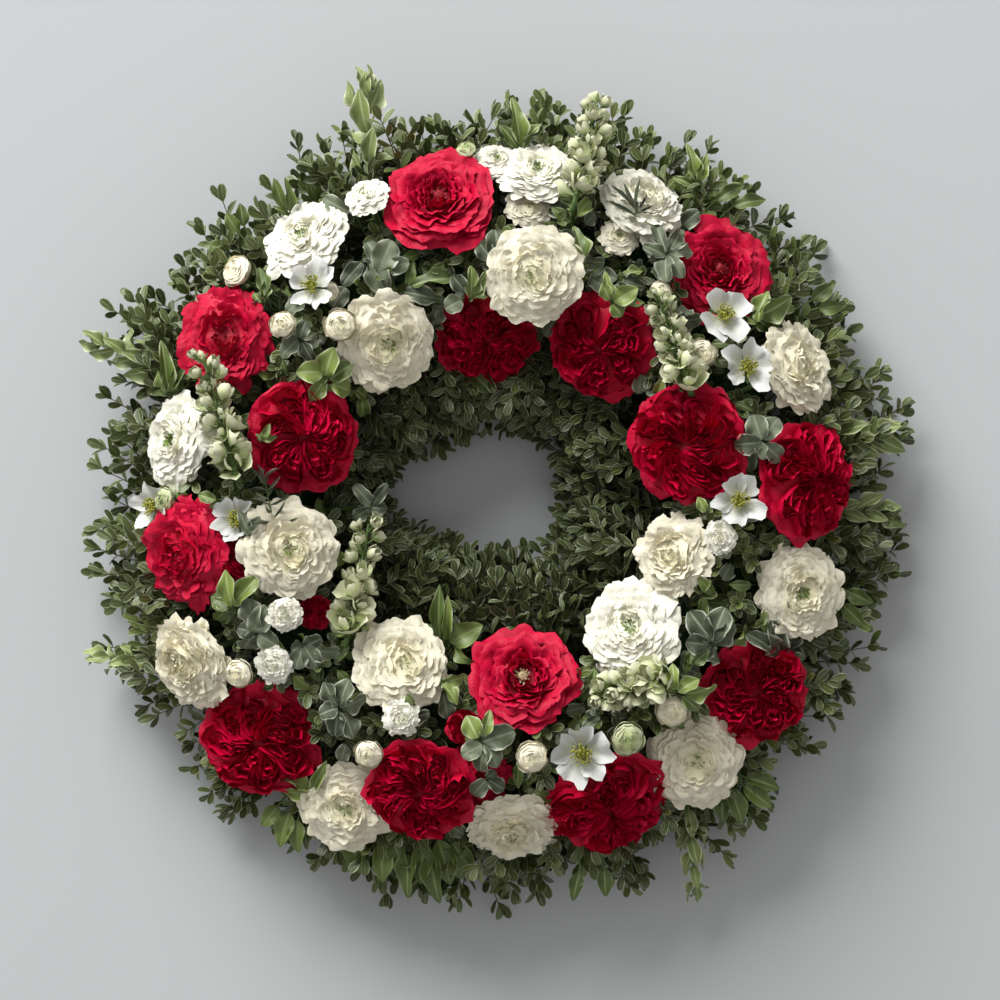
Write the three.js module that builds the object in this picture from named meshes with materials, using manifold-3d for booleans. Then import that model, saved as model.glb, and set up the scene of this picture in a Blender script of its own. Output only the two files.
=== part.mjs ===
// Funeral wreath of fresh flowers, lying on its back.
// A ring of floral foam sits in a plastic tray. Boxwood clothes the outer and the inner flank of the ring
// in sectors. Red and white blooms, small cup-shaped flowers and flower spikes stand over it, each on its own
// stem that goes down through the boxwood to the foam, and broad-leaved sprigs reach out past it.
// Units are millimetres. +Z is up, out of the wreath's face, and +Y is its top when it hangs.
// The origin is the middle of the outline, on the surface that the tray rests on. The ring is not quite
// centred in that outline, and everything here is laid out from the ring's own centre.
import * as THREE from "three";
import { mergeVertices } from "three/addons/utils/BufferGeometryUtils.js";
import Module from "manifold-3d";

const wasm = await Module();
wasm.setup();

// Driving dimensions

const RING_CENTRE = [3, -6, 0];
const RING_RADIUS = 155;
const FOAM_HALF_WIDTH = 35;
const FOAM_TOP = 50;
const FOAM_SHOULDER = 18;
const TRAY_FLOOR = 2.5;
const TRAY_WALL = 2.5;
const TRAY_LIP = 14;
const GAP = 0.4;
const ROOM = 0.6;
const BED_ROOM = 0.2;
const SHARP_CORNER_LIMIT = 0.02;
const MERGE_DISTANCE = 1e-3;
const RING_STEPS = 24;

// A bloom's centre stands this far from the middle of the ring's section, which lies at SECTION_HEIGHT
const BLOOM_REACH = 64;
const SECTION_HEIGHT = 35;
const MOST_OFFSET = 0.86;
const LEAN_SHARE = 0.7;
const SMALL_LEAN_SHARE = 0.2;

// The boxwood is a dense bed, and the tips of its leaves stand out of it
const BED_OUTER_RADIUS = 245;
const BED_INNER_RADIUS = 73;
const BED_TOP = 74;
const BED_BROW = 66;
const BED_SHOULDER = 42;
const BED_EDGE = 26;
const BED_UNDERSIDE = 4;
const BED_ROUGHNESS = 7;
const BED_UNDERCUT = 12;
const BED_SHOULDER_INSET = 28;
const BED_BROW_OFFSET = 26;
const OUTER_SECTORS = 6;
const INNER_SECTORS = 4;
const SEAM = 0.0018;

// The leaves of the boxwood stand in tiers: [height, radius of the root, length, rise in radians]
const OUTER_LEAVES = {
  centre: [3, -7, 0],
  perSector: 18,
  facing: 0,
  tiers: [
    [17, 221, 43, 0.05],
    [39, 208, 50, 0.55],
    [26, 227, 42, 0.2],
  ],
};
const INNER_LEAVES = {
  centre: [-12, 8, 0],
  perSector: 9,
  facing: Math.PI,
  tiers: [
    [20, 90, 37, 0.1],
    [35, 104, 50, 0.15],
  ],
};

// Shares are of a leaf's length, turns are in radians and shifts in millimetres
const BOXWOOD_LEAF = { width: 16, widest: 0.62, shortest: 0.85, lengthRange: 0.3 };
const BOXWOOD_LEAF_TURNS = { roll: 1.2, pitch: 0.5, yaw: 1.7, shift: 6 };

const STEM_RADIUS = 3;
const STEM_END = 1;
const FOOT_SHARE = 0.3;
const FOOT_SPREAD = 15;
const LEAF_FOLD = 3;

// A broad-leaved sprig: its twig, and its pairs of leaves
const TWIG = { sides: 3, tipRadius: 1, footRadius: 1.6, overlap: 4 };
const SPRIG_PAIRS = { number: 3, leafy: 0.7, leafShare: 0.95, setBack: 2 };
const SPRIG_TURNS = { rise: 0.25, spread: 0.75, spreadRange: 0.25 };
const SPRIG_LEAF_WIDTH_SHARE = 0.5;

// A bloom's rings from its foot to its eye, in shares of its radius
const BLOOM_SIDES = 7;
const BLOOM_EYE_HEIGHT = 0.2;
const BLOOM_RINGS = [
  { radius: 1.02, height: -0.04, twist: 0, wander: 0.14, seedStep: 0 },
  { radius: 0.74, height: 0.12, twist: 0.5, wander: 0, seedStep: 0 },
  { radius: 0.68, height: 0.34, twist: 0.5, wander: 0.24, seedStep: 50 },
  { radius: 0.38, height: 0.22, twist: 1.1, wander: 0, seedStep: 0 },
  { radius: 0.3, height: 0.4, twist: 1.1, wander: 0.2, seedStep: 90 },
];
const BLOOM_FOOT_HEIGHT = -0.54;

// A cup-shaped flower, in the same shares
const CUP_SIDES = 10;
const CUP_FOOT_HEIGHT = -0.5;
const CUP_EYE_HEIGHT = 0.04;
const CUP_RINGS = [
  { radius: 0.86, height: 0.2, scallop: 0.16 },
  { radius: 0.44, height: 0.06, scallop: 0.1 },
];
const THIN_STEM_SHARE = 0.8;

// A spike: each whorl is narrower than the one below, with a waist between them
const SPIKE = { sides: 6, whorls: 4, taper: 0.16, waist: 0.5, scallop: 0.14, footShare: 0.05 };

// Steps between seeds, so that no two rows, corners or pieces wander alike
const SEED_STEPS = { corner: 3.7, radius: 17, height: 29, pair: 5, sector: 100, tier: 200 };
const BED_SEEDS = { outer: 1, inner: 50 };
const LEAF_SEEDS = { roll: 3, pitch: 7, yaw: 11, shift: 13 };

// The blooms, by name: [x, y, diameter, lift above the ring's own curve]
const RED_BLOOMS = {
  red_bloom_01: [-36, 193, 75, 4],
  red_bloom_02: [143, 150, 66, 0],
  red_bloom_03: [-174, 105, 68, 4],
  red_bloom_04: [-125, 42, 72, -2],
  red_bloom_05: [-6, 108, 66, -8],
  red_bloom_06: [68, 101, 70, -8],
  red_bloom_07: [123, 38, 76, 0],
  red_bloom_08: [198, 14, 80, 0],
  red_bloom_09: [-199, -33, 72, 4],
  red_bloom_10: [-152, -153, 76, 0],
  red_bloom_11: [-48, -183, 72, 2],
  red_bloom_12: [17, -114, 71, 4],
  red_bloom_13: [71, -192, 78, 0],
  red_bloom_14: [167, -122, 70, 0],
  red_bloom_15: [-15, -176, 46, -14],
};
const WHITE_BLOOMS = {
  white_bloom_01: [-123, 169, 62, 6],
  white_bloom_02: [26, 212, 54, 6],
  white_bloom_03: [94, 193, 60, 2],
  white_bloom_04: [24, 144, 63, 8],
  white_bloom_05: [-70, 102, 67, 6],
  white_bloom_06: [193, 87, 62, 6],
  white_bloom_07: [-206, 39, 62, 6],
  white_bloom_08: [-132, -30, 65, 4],
  white_bloom_09: [-197, -103, 65, 6],
  white_bloom_10: [-61, -105, 67, 2],
  white_bloom_11: [87, -81, 68, 0],
  white_bloom_12: [114, -34, 54, 0],
  white_bloom_13: [195, -58, 64, 4],
  white_bloom_14: [128, -166, 65, 4],
  white_bloom_15: [-97, -197, 62, 0],
  white_bloom_16: [10, -210, 62, 4],
  white_bloom_17: [0, 220, 34, 0],
};

// Blooms near the rim that face almost straight out of the wreath, and hardly lean with its curve
const UPRIGHT_BLOOMS = new Set([
  "red_bloom_02",
  "red_bloom_03",
  "red_bloom_10",
  "red_bloom_14",
  "white_bloom_13",
  "white_bloom_14",
  "white_bloom_15",
]);

// The small cup-shaped flowers: [x, y, diameter, lift]
const CUP_FLOWERS = {
  cup_flower_1: [-117, 137, 34, 16],
  cup_flower_2: [144, 119, 35, 18],
  cup_flower_3: [159, 85, 35, 18],
  cup_flower_4: [154, 1, 33, 12],
  cup_flower_5: [54, -159, 40, 16],
};

// The flower spikes: [x and y of the foot, x and y of the tip, height of the foot, height of the tip, width]
const FLOWER_SPIKES = {
  flower_spike_1: [51, 196, 65, 256, 92, 76, 25],
  flower_spike_2: [-166, 20, -185, 90, 110, 112, 26],
  flower_spike_3: [-95, -86, -82, -14, 92, 84, 26],
  flower_spike_4: [121, 74, 103, 128, 110, 112, 25],
  flower_spike_5: [109, -111, 69, -121, 106, 100, 28],
};

// The broad-leaved sprigs that reach past the boxwood: the same places, then the length of a leaf
const LEAF_SPRIGS = {
  leaf_sprig_1: [-82, 196, -86, 290, 58, 46, 26],
  leaf_sprig_2: [-209, 86, -279, 110, 52, 40, 24],
  leaf_sprig_3: [-209, -106, -275, -100, 46, 34, 22],
  leaf_sprig_4: [212, 42, 269, 44, 50, 40, 26],
  leaf_sprig_5: [215, -6, 273, -8, 44, 32, 22],
  leaf_sprig_6: [124, -190, 133, -270, 50, 26, 22],
};

// The finishes: [colour, roughness]
const FINISHES = {
  tray: [0x1f3a26, 0.45],
  foam: [0x3f6b45, 0.95],
  boxwood: [0x4a5a3a, 0.5],
  red: [0xb5081f, 0.6],
  white: [0xefeedd, 0.65],
  cup: [0xf4f5f4, 0.6],
  spike: [0xdde3bd, 0.6],
  sprig: [0x7f9a3c, 0.5],
};

// A number from 0 to 1 that looks random and is always the same for the same seed
function chance(seed) {
  const s = Math.sin(seed * 12.9898) * 43758.5453;
  return s - Math.floor(s);
}

// From three.js geometry to a manifold-3d solid and back

function merged(geometry) {
  const bare = geometry.index ? geometry.toNonIndexed() : geometry.clone();
  bare.deleteAttribute("normal");
  bare.deleteAttribute("uv");
  return mergeVertices(bare, MERGE_DISTANCE);
}

function solidOf(geometry) {
  const closed = merged(geometry);
  return new wasm.Manifold(
    new wasm.Mesh({
      numProp: 3,
      vertProperties: closed.attributes.position.array,
      triVerts: new Uint32Array(closed.index.array),
    }),
  );
}

// The same shape with every face pushed out, which is the room that its neighbours leave it. Each corner
// moves to where the pushed-out faces that meet there would meet again
function grown(geometry, room = ROOM) {
  const closed = merged(geometry);
  const { position } = closed.attributes;
  const index = closed.index.array;
  const corners = Array.from({ length: position.count }, (_, i) => ({
    place: new THREE.Vector3().fromBufferAttribute(position, i),
    normals: [],
  }));
  for (let i = 0; i < index.length; i += 3) {
    const face = [index[i], index[i + 1], index[i + 2]].map((k) => corners[k]);
    const normal = new THREE.Vector3();
    THREE.Triangle.getNormal(...face.map(({ place }) => place), normal);
    for (const { normals } of face) normals.push(normal);
  }
  corners.forEach(({ place, normals }, i) => {
    const sums = new THREE.Matrix3().multiplyScalar(SHARP_CORNER_LIMIT);
    const aim = new THREE.Vector3();
    for (const n of normals) {
      const { x, y, z } = n;
      [x * x, x * y, x * z, y * x, y * y, y * z, z * x, z * y, z * z].forEach((product, k) => {
        sums.elements[k] += product;
      });
      aim.addScaledVector(n, room);
    }
    place.add(aim.applyMatrix3(sums.invert()));
    position.setXYZ(i, place.x, place.y, place.z);
  });
  return closed;
}

function geometryOf(solid) {
  const mesh = solid.getMesh();
  const geometry = new THREE.BufferGeometry();
  geometry.setAttribute(
    "position",
    new THREE.BufferAttribute(new Float32Array(mesh.vertProperties), 3),
  );
  geometry.setIndex(new THREE.BufferAttribute(new Uint32Array(mesh.triVerts), 1));
  return geometry;
}

// Small splinters that a cut leaves behind are dropped
function largest(solid) {
  const bodies = solid.decompose();
  return bodies.reduce((a, b) => (a.volume() >= b.volume() ? a : b));
}

function placed(geometry, position, direction, spin = 0) {
  const turn = new THREE.Quaternion().setFromUnitVectors(
    new THREE.Vector3(0, 0, 1),
    direction.clone().normalize(),
  );
  const copy = geometry.clone().rotateZ(spin).applyQuaternion(turn);
  return copy.translate(position.x, position.y, position.z);
}

// A closed solid from rings of equal point counts, with a point at each end. The lower one comes first, and
// rooted() moves it
function stackedRings(rings, sides, top) {
  const positions = [0, 0, rings[0].height - STEM_END];
  for (const { radius, height, twist = 0, scallop = 0, wander = 0, seed = 0 } of rings)
    for (let i = 0; i < sides; i++) {
      const angle = ((i + twist) / sides) * 2 * Math.PI;
      const wave = i % 2 ? 1 - scallop : 1 + scallop;
      const r = radius * wave * (1 + wander * (chance(seed + i * SEED_STEPS.corner) - 0.5));
      positions.push(r * Math.cos(angle), r * Math.sin(angle), height);
    }
  positions.push(0, 0, top);
  const last = 1 + rings.length * sides;
  const index = [];
  for (let i = 0; i < sides; i++) {
    const next = (i + 1) % sides;
    index.push(0, 1 + next, 1 + i);
    for (let k = 0; k + 1 < rings.length; k++) {
      const low = 1 + k * sides;
      const high = low + sides;
      index.push(low + i, low + next, high + next, low + i, high + next, high + i);
    }
    const rim = last - sides;
    index.push(last, rim + i, rim + next);
  }
  const geometry = new THREE.BufferGeometry();
  geometry.setAttribute("position", new THREE.Float32BufferAttribute(positions, 3));
  geometry.setIndex(index);
  return geometry;
}

// Where a head stands over the ring, and which way it faces

function placeOverRing(x, y, lift, leanShare = LEAN_SHARE) {
  const reach = Math.hypot(x, y);
  const share = THREE.MathUtils.clamp(
    (reach - RING_RADIUS) / BLOOM_REACH,
    -MOST_OFFSET,
    MOST_OFFSET,
  );
  const slope = Math.asin(share);
  const lean = leanShare * slope;
  const centre = new THREE.Vector3(x, y, SECTION_HEIGHT + BLOOM_REACH * Math.cos(slope) + lift);
  const axis = new THREE.Vector3(
    (Math.sin(lean) * x) / reach,
    (Math.sin(lean) * y) / reach,
    Math.cos(lean),
  );
  return { centre, axis };
}

// Where the stem of a head at a given place stands on the foam
function footOf({ x, y }) {
  const angle = Math.atan2(y, x);
  const offset = FOOT_SHARE * (Math.hypot(x, y) - RING_RADIUS);
  const reach = RING_RADIUS + THREE.MathUtils.clamp(offset, -FOOT_SPREAD, FOOT_SPREAD);
  return new THREE.Vector3(reach * Math.cos(angle), reach * Math.sin(angle), FOAM_TOP + 2 * GAP);
}

// Draws the lower end of a head out into a stem that tapers to its foot
function rooted(head) {
  const { position } = head.attributes;
  const foot = footOf({ x: position.getX(0), y: position.getY(0) });
  position.setXYZ(0, foot.x, foot.y, foot.z);
  return head;
}

// Flower heads

// Three whorls of petals round a hollow eye, over a calyx
function bloomHead(diameter, seed) {
  const r = diameter / 2;
  const petals = BLOOM_RINGS.map(({ radius, height, twist, wander, seedStep }) => ({
    radius: radius * r,
    height: height * r,
    twist,
    wander,
    seed: seed + seedStep,
  }));
  const rings = [{ radius: STEM_RADIUS, height: BLOOM_FOOT_HEIGHT * r }, ...petals];
  return stackedRings(rings, BLOOM_SIDES, BLOOM_EYE_HEIGHT * r);
}

// Five petals open round a shallow cup
function cupHead(diameter) {
  const r = diameter / 2;
  const petals = CUP_RINGS.map(({ radius, height, scallop }) => ({
    radius: radius * r,
    height: height * r,
    scallop,
  }));
  const rings = [{ radius: THIN_STEM_SHARE * STEM_RADIUS, height: CUP_FOOT_HEIGHT * r }, ...petals];
  return stackedRings(rings, CUP_SIDES, CUP_EYE_HEIGHT * r);
}

// Whorls of florets that get smaller towards the tip
function spikeHead(length, width) {
  const { whorls, scallop } = SPIKE;
  const rings = [{ radius: THIN_STEM_SHARE * STEM_RADIUS, height: -SPIKE.footShare * length }];
  for (let k = 0; k < whorls; k++) {
    const radius = (width / 2) * (1 - SPIKE.taper * k);
    const twist = k % 2;
    if (k > 0) rings.push({ radius: SPIKE.waist * radius, height: (length * k) / whorls, twist });
    rings.push({ radius, height: (length * (k + 0.5)) / whorls, twist, scallop });
  }
  return stackedRings(rings, SPIKE.sides, length);
}

// Leaves and sprigs

// A thin pointed leaf along +X. Its middle vein is level, and its two sides hang lower
function leaf(length, width, widest = 0.5) {
  const at = widest * length;
  const corners = [0, 0, 0, length, 0, 0, at, width / 2, -LEAF_FOLD, at, -width / 2, -LEAF_FOLD];
  const geometry = new THREE.BufferGeometry();
  geometry.setAttribute("position", new THREE.Float32BufferAttribute(corners, 3));
  geometry.setIndex([0, 1, 2, 1, 0, 3, 2, 3, 0, 3, 2, 1]);
  return geometry;
}

// A twig with pairs of leaves along it and one at its tip, along +X with its faces up
function sprig(length, leafLength, seed) {
  const leafWidth = SPRIG_LEAF_WIDTH_SHARE * leafLength;
  const { rise, spread, spreadRange } = SPRIG_TURNS;
  const bare = length - leafLength;
  const whole = bare + TWIG.overlap;
  const twig = new THREE.CylinderGeometry(TWIG.tipRadius, TWIG.footRadius, whole, TWIG.sides);
  const parts = [
    twig.rotateZ(-Math.PI / 2).translate(whole / 2, 0, 0),
    leaf(leafLength, leafWidth).translate(bare, 0, 0),
  ];
  for (let k = 0; k < SPRIG_PAIRS.number; k++)
    for (const side of [-1, 1]) {
      const at = bare * (1 - (SPRIG_PAIRS.leafy * k) / SPRIG_PAIRS.number) - SPRIG_PAIRS.setBack;
      const turn = side * (spread + spreadRange * chance(seed + k * SEED_STEPS.pair + side));
      parts.push(
        leaf(SPRIG_PAIRS.leafShare * leafLength, leafWidth)
          .rotateY(-rise * (0.5 + chance(seed + k)))
          .rotateZ(turn)
          .translate(at, 0, 0),
      );
    }
  return parts;
}

// Turns parts that lie along +X so that they start at a point and run towards another, faces up
function laidAlong(parts, from, to) {
  const x = to.clone().sub(from).normalize();
  const y = new THREE.Vector3(0, 0, 1).cross(x).normalize();
  const turn = new THREE.Matrix4().makeBasis(x, y, x.clone().cross(y)).setPosition(from);
  return parts.map((part) => part.applyMatrix4(turn));
}

// The ring: tray, foam and the boxwood round them

// Sweeps a section round the ring's axis, all the way or over an arc. Its points are [radius, height, rough],
// and rough ones wander
function sweptSection(section, steps = RING_STEPS, arc = null, seed = 0) {
  const [start, end] = arc ?? [0, 2 * Math.PI];
  const rows = arc ? steps + 1 : steps;
  const count = section.length;
  const positions = [];
  for (let k = 0; k < rows; k++) {
    const angle = start + ((end - start) * k) / steps;
    section.forEach(([radius, height, rough], i) => {
      const wander = rough ? BED_ROUGHNESS : 0;
      const r = radius + wander * (chance(seed + k * SEED_STEPS.radius + i) - 0.5);
      const h = height + wander * (chance(seed + k * SEED_STEPS.height + i) - 0.5);
      positions.push(r * Math.cos(angle), r * Math.sin(angle), h);
    });
  }
  const index = [];
  for (let k = 0; k < steps; k++)
    for (let i = 0; i < count; i++) {
      const j = (i + 1) % count;
      const a = k * count;
      const b = ((k + 1) % rows) * count;
      index.push(a + i, b + j, a + j, a + i, b + i, b + j);
    }
  if (arc) {
    const contour = section.map(([r, h]) => new THREE.Vector2(r, h));
    const far = (rows - 1) * count;
    for (const [a, b, c] of THREE.ShapeUtils.triangulateShape(contour, [])) {
      index.push(a, b, c);
      index.push(far + a, far + c, far + b);
    }
  }
  const geometry = new THREE.BufferGeometry();
  geometry.setAttribute("position", new THREE.Float32BufferAttribute(positions, 3));
  geometry.setIndex(index);
  return geometry;
}

const FOAM_IN = RING_RADIUS - FOAM_HALF_WIDTH;
const FOAM_OUT = RING_RADIUS + FOAM_HALF_WIDTH;
const SHOULDER_HEIGHT = FOAM_TOP - FOAM_SHOULDER;

function tray() {
  const inside = FOAM_IN - GAP;
  const outside = FOAM_OUT + GAP;
  return sweptSection([
    [inside - TRAY_WALL, 0],
    [outside + TRAY_WALL, 0],
    [outside + TRAY_WALL, TRAY_LIP],
    [outside, TRAY_LIP],
    [outside, TRAY_FLOOR],
    [inside, TRAY_FLOOR],
    [inside, TRAY_LIP],
    [inside - TRAY_WALL, TRAY_LIP],
  ]);
}

function foamRing() {
  return sweptSection([
    [FOAM_IN, TRAY_FLOOR + GAP],
    [FOAM_OUT, TRAY_FLOOR + GAP],
    [FOAM_OUT, SHOULDER_HEIGHT],
    [FOAM_OUT - FOAM_SHOULDER, FOAM_TOP],
    [FOAM_IN + FOAM_SHOULDER, FOAM_TOP],
    [FOAM_IN, SHOULDER_HEIGHT],
  ]);
}

// The mass of boxwood over one flank of the foam, from the ring's middle line outwards or inwards
function bedSection(outer) {
  const side = outer ? 1 : -1;
  const middle = RING_RADIUS + side * GAP;
  const foam = RING_RADIUS + side * (FOAM_HALF_WIDTH + 2 * GAP);
  const shoulder = foam - side * FOAM_SHOULDER;
  const lip = RING_RADIUS + side * (FOAM_HALF_WIDTH + TRAY_WALL + 3 * GAP);
  const edge = outer ? BED_OUTER_RADIUS : BED_INNER_RADIUS;
  const points = [
    [middle, FOAM_TOP + 2 * GAP],
    [shoulder, FOAM_TOP + 2 * GAP],
    [foam, SHOULDER_HEIGHT + 2 * GAP],
    [foam, TRAY_LIP + 2 * GAP],
    [lip, TRAY_LIP + 2 * GAP],
    [lip, BED_UNDERSIDE],
    [edge - side * BED_UNDERCUT, BED_UNDERSIDE],
    [edge, BED_EDGE, true],
    [edge - side * BED_SHOULDER_INSET, BED_SHOULDER, true],
    [middle + side * BED_BROW_OFFSET, BED_BROW],
    [middle, BED_TOP],
  ];
  return outer ? points : points.reverse();
}

function bed(outer, sector, sectors) {
  const width = (2 * Math.PI) / sectors;
  const arc = [sector * width + SEAM, (sector + 1) * width - SEAM];
  const seed = SEED_STEPS.sector * sector + (outer ? BED_SEEDS.outer : BED_SEEDS.inner);
  return sweptSection(bedSection(outer), RING_STEPS / sectors, arc, seed);
}

// One of the leaves round a flank of the bed, which stand at even steps in tiers and turn a little each way
function boxwoodLeaf({ tiers, centre, facing }, number, total) {
  const [height, root, length, rise] = tiers[number % tiers.length];
  const seed = number + tiers.length * SEED_STEPS.tier;
  const { width, widest, shortest, lengthRange } = BOXWOOD_LEAF;
  const [roll, pitch, yaw, shift] = ["roll", "pitch", "yaw", "shift"].map(
    (key) => BOXWOOD_LEAF_TURNS[key] * (chance(seed + LEAF_SEEDS[key]) - 0.5),
  );
  return leaf(length * (shortest + lengthRange * chance(seed)), width, widest)
    .rotateX(roll)
    .rotateY(-rise - pitch)
    .rotateZ(yaw + facing)
    .translate(root, 0, height + shift)
    .rotateZ(((number + 0.5) / total) * 2 * Math.PI)
    .translate(...centre);
}

// The pieces, from those that lie on top to those beneath. Each is a list of closed parts that are joined

const pieces = [];

function joined(parts) {
  return wasm.Manifold.union(parts.map(solidOf));
}

function boxesMeet(a, b) {
  return [0, 1, 2].every((k) => a.min[k] < b.max[k] && b.min[k] < a.max[k]);
}

// A new piece is cut back from those that lie over it, so that no two overlap
function addPiece(name, finish, parts, rooms = parts.map((part) => grown(part))) {
  const solid = joined(parts);
  const box = solid.boundingBox();
  const above = pieces.filter(({ room }) => boxesMeet(box, room.boundingBox()));
  const rest = above.reduce((left, { room }) => left.subtract(room), solid);
  pieces.push({ name, finish, solid: largest(rest), room: joined(rooms) });
}

for (const [name, [x0, y0, x1, y1, z0, z1, width]] of Object.entries(FLOWER_SPIKES)) {
  const from = new THREE.Vector3(x0, y0, z0);
  const along = new THREE.Vector3(x1, y1, z1).sub(from);
  addPiece(name, "spike", [rooted(placed(spikeHead(along.length(), width), from, along))]);
}

for (const [name, [x, y, diameter, lift]] of Object.entries(CUP_FLOWERS)) {
  const { centre, axis } = placeOverRing(x, y, lift);
  addPiece(name, "cup", [rooted(placed(cupHead(diameter), centre, axis, x))]);
}

const blooms = [
  ...Object.entries(RED_BLOOMS).map(([name, layout]) => ({ name, layout, finish: "red" })),
  ...Object.entries(WHITE_BLOOMS).map(([name, layout]) => ({ name, layout, finish: "white" })),
].map(({ name, layout: [x, y, diameter, lift], finish }, i) => {
  const leanShare = UPRIGHT_BLOOMS.has(name) ? SMALL_LEAN_SHARE : LEAN_SHARE;
  const { centre, axis } = placeOverRing(x, y, lift, leanShare);
  return { name, finish, centre, head: placed(bloomHead(diameter, i), centre, axis, i) };
});
blooms.sort((a, b) => b.centre.z - a.centre.z);
for (const { name, finish, head } of blooms) addPiece(name, finish, [rooted(head)]);

for (const [name, [x0, y0, x1, y1, z0, z1, leafLength]] of Object.entries(LEAF_SPRIGS)) {
  const from = new THREE.Vector3(x0, y0, z0);
  const to = new THREE.Vector3(x1, y1, z1);
  addPiece(name, "sprig", laidAlong(sprig(from.distanceTo(to), leafLength, x0), from, to));
}

function addBoxwood(side, sectors, layout) {
  const { perSector } = layout;
  for (let sector = 0; sector < sectors; sector++) {
    const mass = bed(side === "outer", sector, sectors);
    const leaves = Array.from({ length: perSector }, (_, i) =>
      boxwoodLeaf(layout, sector * perSector + i, sectors * perSector),
    );
    const rooms = [grown(mass, BED_ROOM), ...leaves.map((blade) => grown(blade))];
    addPiece(`boxwood_${side}_${sector + 1}`, "boxwood", [mass, ...leaves], rooms);
  }
}

addBoxwood("outer", OUTER_SECTORS, OUTER_LEAVES);
addBoxwood("inner", INNER_SECTORS, INNER_LEAVES);

// The foam and the tray lie clear of the rest as they are made
pieces.push({ name: "foam_ring", finish: "foam", solid: joined([foamRing()]) });
pieces.push({ name: "tray", finish: "tray", solid: joined([tray()]) });

const wreath = new THREE.Group();
wreath.position.set(...RING_CENTRE);
for (const { name, finish, solid } of pieces) {
  const [color, roughness] = FINISHES[finish];
  const material = new THREE.MeshStandardMaterial({
    color,
    roughness,
    metalness: 0,
    flatShading: true,
  });
  const mesh = new THREE.Mesh(geometryOf(solid), material);
  mesh.name = name;
  wreath.add(mesh);
}

export default wreath;
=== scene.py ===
import math

import bpy
import numpy as np
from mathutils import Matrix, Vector


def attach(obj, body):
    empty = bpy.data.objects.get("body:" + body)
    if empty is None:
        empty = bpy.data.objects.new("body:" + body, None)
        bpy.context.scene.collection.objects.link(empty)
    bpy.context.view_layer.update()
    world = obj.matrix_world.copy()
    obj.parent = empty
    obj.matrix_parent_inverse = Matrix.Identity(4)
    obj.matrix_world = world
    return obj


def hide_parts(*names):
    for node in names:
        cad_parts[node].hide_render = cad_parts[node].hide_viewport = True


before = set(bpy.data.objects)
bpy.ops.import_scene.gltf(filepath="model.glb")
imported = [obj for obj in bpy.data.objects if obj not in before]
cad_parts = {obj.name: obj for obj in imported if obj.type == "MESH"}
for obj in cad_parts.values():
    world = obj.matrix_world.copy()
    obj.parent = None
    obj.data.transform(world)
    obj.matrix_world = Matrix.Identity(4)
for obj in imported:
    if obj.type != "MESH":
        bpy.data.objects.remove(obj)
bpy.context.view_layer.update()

# Everything is laid out in millimetres, as the solids are, and turned into metres when a mesh is made

METRES = 0.001
UP = np.array([0.0, 0.0, 1.0])

# The middles of the blooms lie on a round section over the ring's middle line, and lean with it
RING_CENTRE = np.array([3.0, -6.0, 0.0])
RING_RADIUS = 155
BLOOM_REACH = 64
SECTION_HEIGHT = 35
MOST_OFFSET = 0.86
LEAN_SHARE = 0.7
SMALL_LEAN_SHARE = 0.2

# The foam ring, where the stems end
FOAM_TOP = 50
FOAM_SHOULDER = 18
FOAM_HALF_WIDTH = 35
FOOT_SPREAD = 15

# Leaves turn their faces partly to the light, which comes from this side
LIGHT_WAY = np.array([-0.3, 0.6, 0.74])

# Where the random numbers of each group start
SEEDS = {"red": 1, "white": 40, "small": 80, "cup": 120, "small_cup": 130, "spike": 150, "sprig": 170,
         "leaves": 190, "needles": 191, "fillers": 195, "outer": 200, "inner": 220, "crown": 240}

# The places of the finishes on a bloom, and on a sprig or a bunch of leaves
PETALS, GREEN, EYE = 0, 1, 2
STEMS, LEAVES = 0, 1

# The camera looks straight down, and a pixel of the 1000 x 1000 picture is this wide at this height
CAMERA = np.array([5.2, -4.6, 2000.0])
PIXEL = 0.65
PIXEL_HEIGHT = 60
PICTURE = 1000

# The height of the crown at most places, and the height that nothing placed by its pixel passes
USUAL_HEIGHT = 90.0
HIGHEST = 112.0

# The blooms: [x, y, diameter, lift, kind], and the tint of each white one
RED_BLOOMS = {
    "red_bloom_01": [-36, 193, 75, 4, "open"],
    "red_bloom_02": [143, 150, 66, 0, "open"],
    "red_bloom_03": [-174, 105, 68, 4, "frilled"],
    "red_bloom_04": [-125, 42, 72, -2, "quartered"],
    "red_bloom_05": [-6, 108, 66, -8, "quartered"],
    "red_bloom_06": [68, 101, 70, -8, "quartered"],
    "red_bloom_07": [123, 38, 76, 0, "quartered"],
    "red_bloom_08": [198, 14, 80, 0, "quartered"],
    "red_bloom_09": [-199, -33, 72, 4, "frilled"],
    "red_bloom_10": [-152, -153, 76, 0, "quartered"],
    "red_bloom_11": [-48, -183, 72, 2, "quartered"],
    "red_bloom_12": [17, -114, 71, 4, "open"],
    "red_bloom_13": [71, -192, 78, 0, "quartered"],
    "red_bloom_14": [167, -122, 70, 0, "quartered"],
    "red_bloom_15": [-15, -176, 46, -14, "frilled"],
}
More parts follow.
